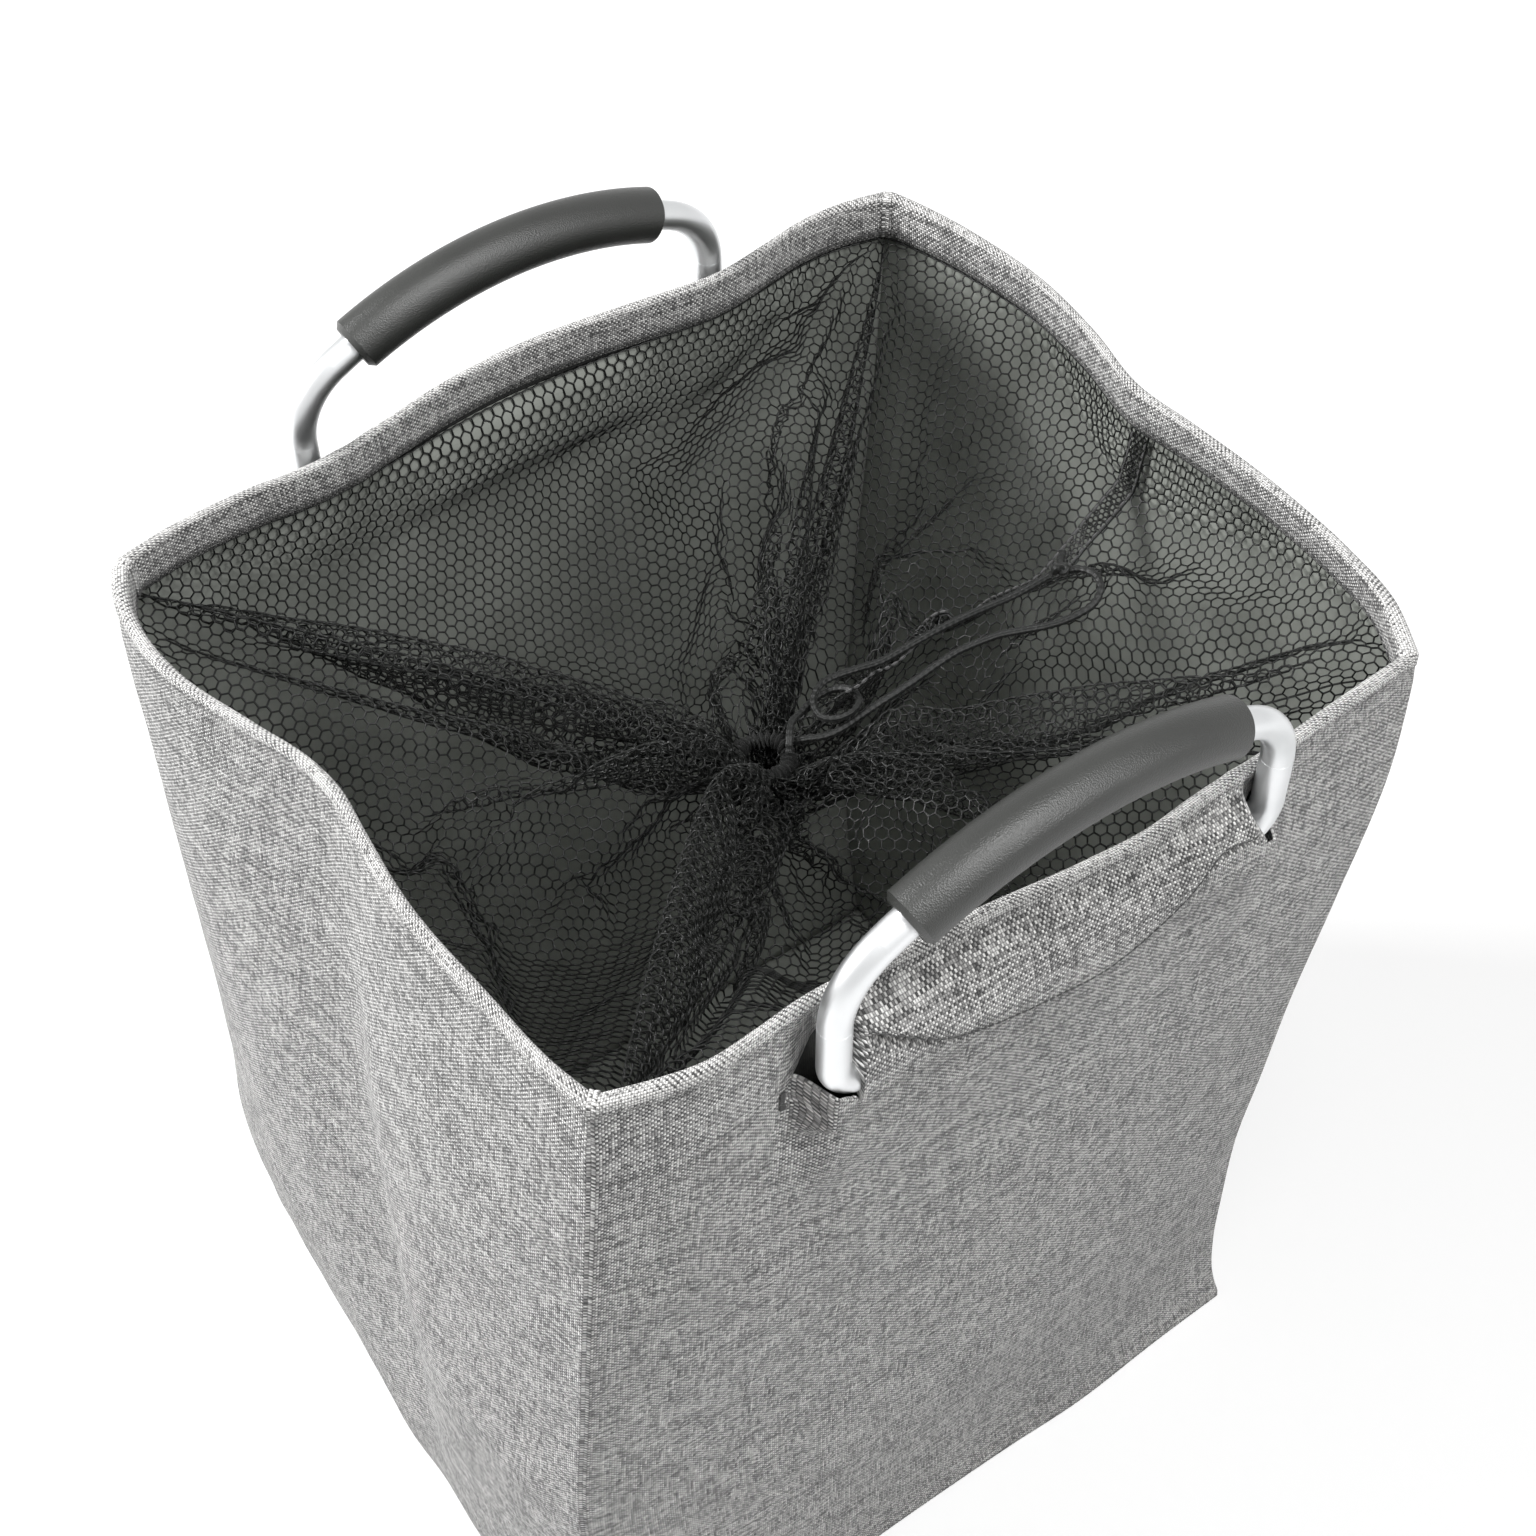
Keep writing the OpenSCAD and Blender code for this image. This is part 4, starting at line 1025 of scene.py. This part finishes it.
def drape_net():
    """The net as a tube of cloth that hangs from the rim while its lower edge is drawn
    in to a small pleated ring; returns its points, row 0 at the gather."""
    top, _, _ = net_edge()
    share = np.arange(NET_COLS) / NET_COLS
    fall = np.linspace(1, 0, NET_ROWS)[:, None] * NET_CUT_H
    start = np.repeat(top[None], NET_ROWS, 0)
    start[..., 2] -= fall
    uv = np.zeros((NET_ROWS, NET_COLS + 1, 2))
    mesh = cloth_mesh("net_drape", start, uv, ring=True)
    place = np.zeros(len(mesh.vertices) * 3)
    mesh.vertices.foreach_get("co", place)
    place = place.reshape(-1, 3)
    column = np.argmin(((place[:, None, :2] - top[None, :, :2])**2).sum(2), axis=1)
    row = np.rint((1 - (top[column, 2] - place[:, 2]) / NET_CUT_H) * (NET_ROWS - 1)).astype(int)
    obj = bpy.data.objects.new("net_drape", mesh)
    bpy.context.scene.collection.objects.link(obj)
    held = obj.vertex_groups.new(name="held")
    edges = np.nonzero((row == 0) | (row == NET_ROWS - 1))[0]
    held.add([int(i) for i in edges], 1.0, "REPLACE")
    obj.shape_key_add(name="hanging")
    drawn = obj.shape_key_add(name="drawn_in")
    target = place.copy()
    low = row == 0
    around = np.arctan2(top[:, 1], top[:, 0])[column]
    turn = share[column] * TAU
    radius = GATHER_R + 4 * MM * np.cos(PLEATS * turn)
    target[low, 0] = (radius * np.cos(around))[low]
    target[low, 1] = (radius * np.sin(around))[low]
    target[low, 2] = GATHER_Z + (6 * MM * np.sin(PLEATS / 2 * turn))[low]
    drawn.data.foreach_set("co", target.ravel())
    for value, moment in ((0, 1), (1, DRAWN_IN)):
        drawn.value = value
        drawn.keyframe_insert("value", frame=moment)
    cloth = obj.modifiers.new("drape", "CLOTH")
    knit = cloth.settings
    knit.vertex_group_mass = "held"
    knit.quality = 8
    knit.mass = 0.0006
    knit.tension_stiffness, knit.compression_stiffness = 20, 3
    knit.shear_stiffness, knit.bending_stiffness = 3, 0.4
    knit.tension_damping, knit.compression_damping = 10, 5
    knit.shear_damping, knit.bending_damping, knit.air_damping = 5, 0.5, 2
    cloth.collision_settings.use_collision = False
    cloth.collision_settings.use_self_collision = False
    last = SETTLED
    cloth.point_cache.frame_start, cloth.point_cache.frame_end = 1, SETTLED + 10
    scene = bpy.context.scene
    scene.frame_start, scene.frame_end = 1, SETTLED + 10
    for moment in range(1, last + 1):
        scene.frame_set(moment)
    seen = obj.evaluated_get(bpy.context.evaluated_depsgraph_get()).to_mesh()
    flat = np.zeros(len(seen.vertices) * 3)
    seen.vertices.foreach_get("co", flat)
    grid = np.zeros((NET_ROWS, NET_COLS, 3))
    grid[row, column] = flat.reshape(-1, 3)
    scene.frame_set(1)
    bpy.data.objects.remove(obj)
    return grid


def kept_inside(grid):
    """Moves points that have passed through the lining back inside it."""
    t = np.linspace(0, 1, 120, endpoint=False)
    levels = np.linspace(430, 545, 12)
    rings = []
    for z in levels:
        clearance = 8.4 - 3.2 * smooth((z - 512) / 25)
        ring = np.concatenate([wall(k, t, z, clearance, plain=True) for k in range(4)])
        rings.append(ring[:, :2])
    rings = np.array(rings)
    flat = grid.reshape(-1, 3).copy()
    level = (flat[:, 2] / MM - levels[0]) / (levels[1] - levels[0])
    level = np.clip(level, 0, len(levels) - 1.001)
    low = level.astype(int)
    part = (level - low)[:, None]
    for start in range(0, len(flat), 2000):
        some = slice(start, start + 2000)
        above = part[some, :, None]
        ring = rings[low[some]] * (1 - above) + rings[low[some] + 1] * above
        run = np.roll(ring, -1, axis=1) - np.roll(ring, 1, axis=1)
        away = flat[some, None, :2] - ring
        near = np.argmin((away**2).sum(2), axis=1)
        pick = np.arange(len(near))
        run = run[pick, near]
        run = run / np.linalg.norm(run, axis=1)[:, None]
        outward = np.stack([run[:, 1], -run[:, 0]], 1)
        over = np.maximum(0, (away[pick, near] * outward).sum(1))
        flat[some, :2] -= outward * over[:, None]
    return flat.reshape(grid.shape)


def under_cords(grid, lines):
    """Brings the net to the cords that lie on it, with all its folds."""
    marks = np.concatenate([line[::4] for line in lines])
    flat = grid.reshape(-1, 3).copy()
    apart = np.linalg.norm(flat[:, None, :2] - marks[None, :, :2], axis=2)
    around = apart < 7 * MM
    top = np.where(around, flat[:, None, 2], -1).max(0)
    change = np.where(around.any(0), marks[:, 2] - CORD_D / 2 - THREAD_D / 2 - top, 0)
    weight = np.exp(-(apart / (9 * MM))**2)
    total = weight.sum(1)
    share = smooth(1.15 - apart.min(1) / (30 * MM))
    moved = (weight * change).sum(1) / np.maximum(total, 1e-9)
    flat[:, 2] += np.where(total > 1e-9, moved, 0) * share
    return flat.reshape(grid.shape)


def on_net(grid, across, up):
    """Points of the draped net at shares round it and up it, smoothly between its own."""
    rows, cols = grid.shape[:2]
    x = across * cols
    y = np.clip(up * (rows - 1), 0, rows - 1)
    i0, j0 = np.floor(y).astype(int), np.floor(x).astype(int)
    fy, fx = y - i0, x - j0

    def weights(f):
        return [-0.5 * f + f**2 - 0.5 * f**3, 1 - 2.5 * f**2 + 1.5 * f**3,
                0.5 * f + 2 * f**2 - 1.5 * f**3, -0.5 * f**2 + 0.5 * f**3]

    out = 0
    for a, wy in enumerate(weights(fy)):
        i = np.clip(i0 + a - 1, 0, rows - 1)
        for b, wx in enumerate(weights(fx)):
            out = out + (wy * wx)[..., None] * grid[i, (j0 + b - 1) % cols]
    return out


def hex_net(name, grid, start, end, width, pitch=HEX_PITCH, low=0.0, high=1.0, lift=0.0,
            nodes=("net_cover", "net_neck")):
    """One wall's share of the net: bricks dissolved out of a grid are pulled into
    hexagons, laid on the drape and turned into threads."""
    cells = round(width / pitch)
    side = pitch / math.sqrt(3)
    tall = NET_CUT_H * (high - low)
    rows = int(tall / (1.5 * side))
    bm = bmesh.new()
    bmesh.ops.create_grid(bm, x_segments=2 * cells, y_segments=rows, size=0.5)
    brick_ends = []
    for edge in bm.edges:
        a, b = (v.co for v in edge.verts)
        if abs(a.x - b.x) > 1e-4:
            continue
        column = round((a.x + 0.5) * 2 * cells)
        row = round((min(a.y, b.y) + 0.5) * rows)
        if (column + row) % 2 and 0 < column < 2 * cells:
            brick_ends.append(edge)
    bmesh.ops.dissolve_edges(bm, edges=brick_ends, use_verts=False)
    spots = np.array([v.co[:2] for v in bm.verts]) + 0.5
    column = np.rint(spots[:, 0] * 2 * cells)
    row = np.rint(spots[:, 1] * rows)
    up = row + np.where((column + row) % 2 == 0, 1, -1) / 6
    up = low + (high - low) * np.clip(up / rows, 0, 1)
    points = on_net(grid, start + (end - start) * column / (2 * cells), up)
    points[:, 2] += lift
    for vert, point in zip(bm.verts, points):
        vert.co = point
    mesh = bpy.data.meshes.new(name)
    bm.to_mesh(mesh)
    bm.free()
    piece = as_piece(mesh, name, net)
    threads = piece.modifiers.new("threads", "WIREFRAME")
    threads.thickness = THREAD_D
    threads.use_replace = True
    threads.use_boundary = True
    threads.use_even_offset = False
    threads.offset = 0
    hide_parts(*nodes)
    return piece


net_points = under_cords(kept_inside(drape_net()), cord_lines)
_, net_corners, net_length = net_edge()
for side, wall_name in enumerate(WALL_NAMES):
    hex_net(wall_name + "_net", net_points, net_corners[side], net_corners[side + 1],
            (net_corners[side + 1] - net_corners[side]) * net_length)

# where the net's ends meet they are sewn together: a double, denser band down the
# middle of one side, with a thread along each of its edges
seam_at = (net_corners[1] + net_corners[2]) / 2
seam_half = SEAM_W / 2 / net_length
hex_net("net_seam_band", net_points, seam_at - seam_half, seam_at + seam_half, SEAM_W,
        pitch=SEAM_PITCH, low=0.16, lift=0.9 * MM, nodes=("net_seam",))
for edge, letter in ((-1, "a"), (1, "b")):
    seam_up = np.linspace(0.18, 0.99, 160)
    seam_across = np.full_like(seam_up, seam_at + edge * seam_half * 0.86)
    seam_line = on_net(net_points, seam_across, seam_up)
    seam_line[:, 2] += 1.2 * MM
    stitches("net_seam_thread_" + letter, seam_line, 4.4 * MM, 0.5 * MM, 0.75 * MM)


def gather_ruffles(angle, run):
    """Pleats of the casing, drawn up on the cord."""
    turn = run / GATHER_R
    return (1.0 * np.cos(PLEATS * turn + 1.2 * np.sin(angle)) + 0.35 * np.sin(7 * turn)) * MM


ring_turn = np.arange(PLEATS * 14) / (PLEATS * 14) * TAU
ring_line = np.stack([GATHER_R * np.cos(ring_turn), GATHER_R * np.sin(ring_turn),
                      GATHER_Z + 0.8 * MM * np.sin(3 * ring_turn + 1)], 1)
casing = as_piece(swept_mesh("gathered_casing", ring_line, 3.1 * MM, 20, relief=gather_ruffles,
                             closed=True), "gathered_casing", binding_cloth)
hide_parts("gather_casing")
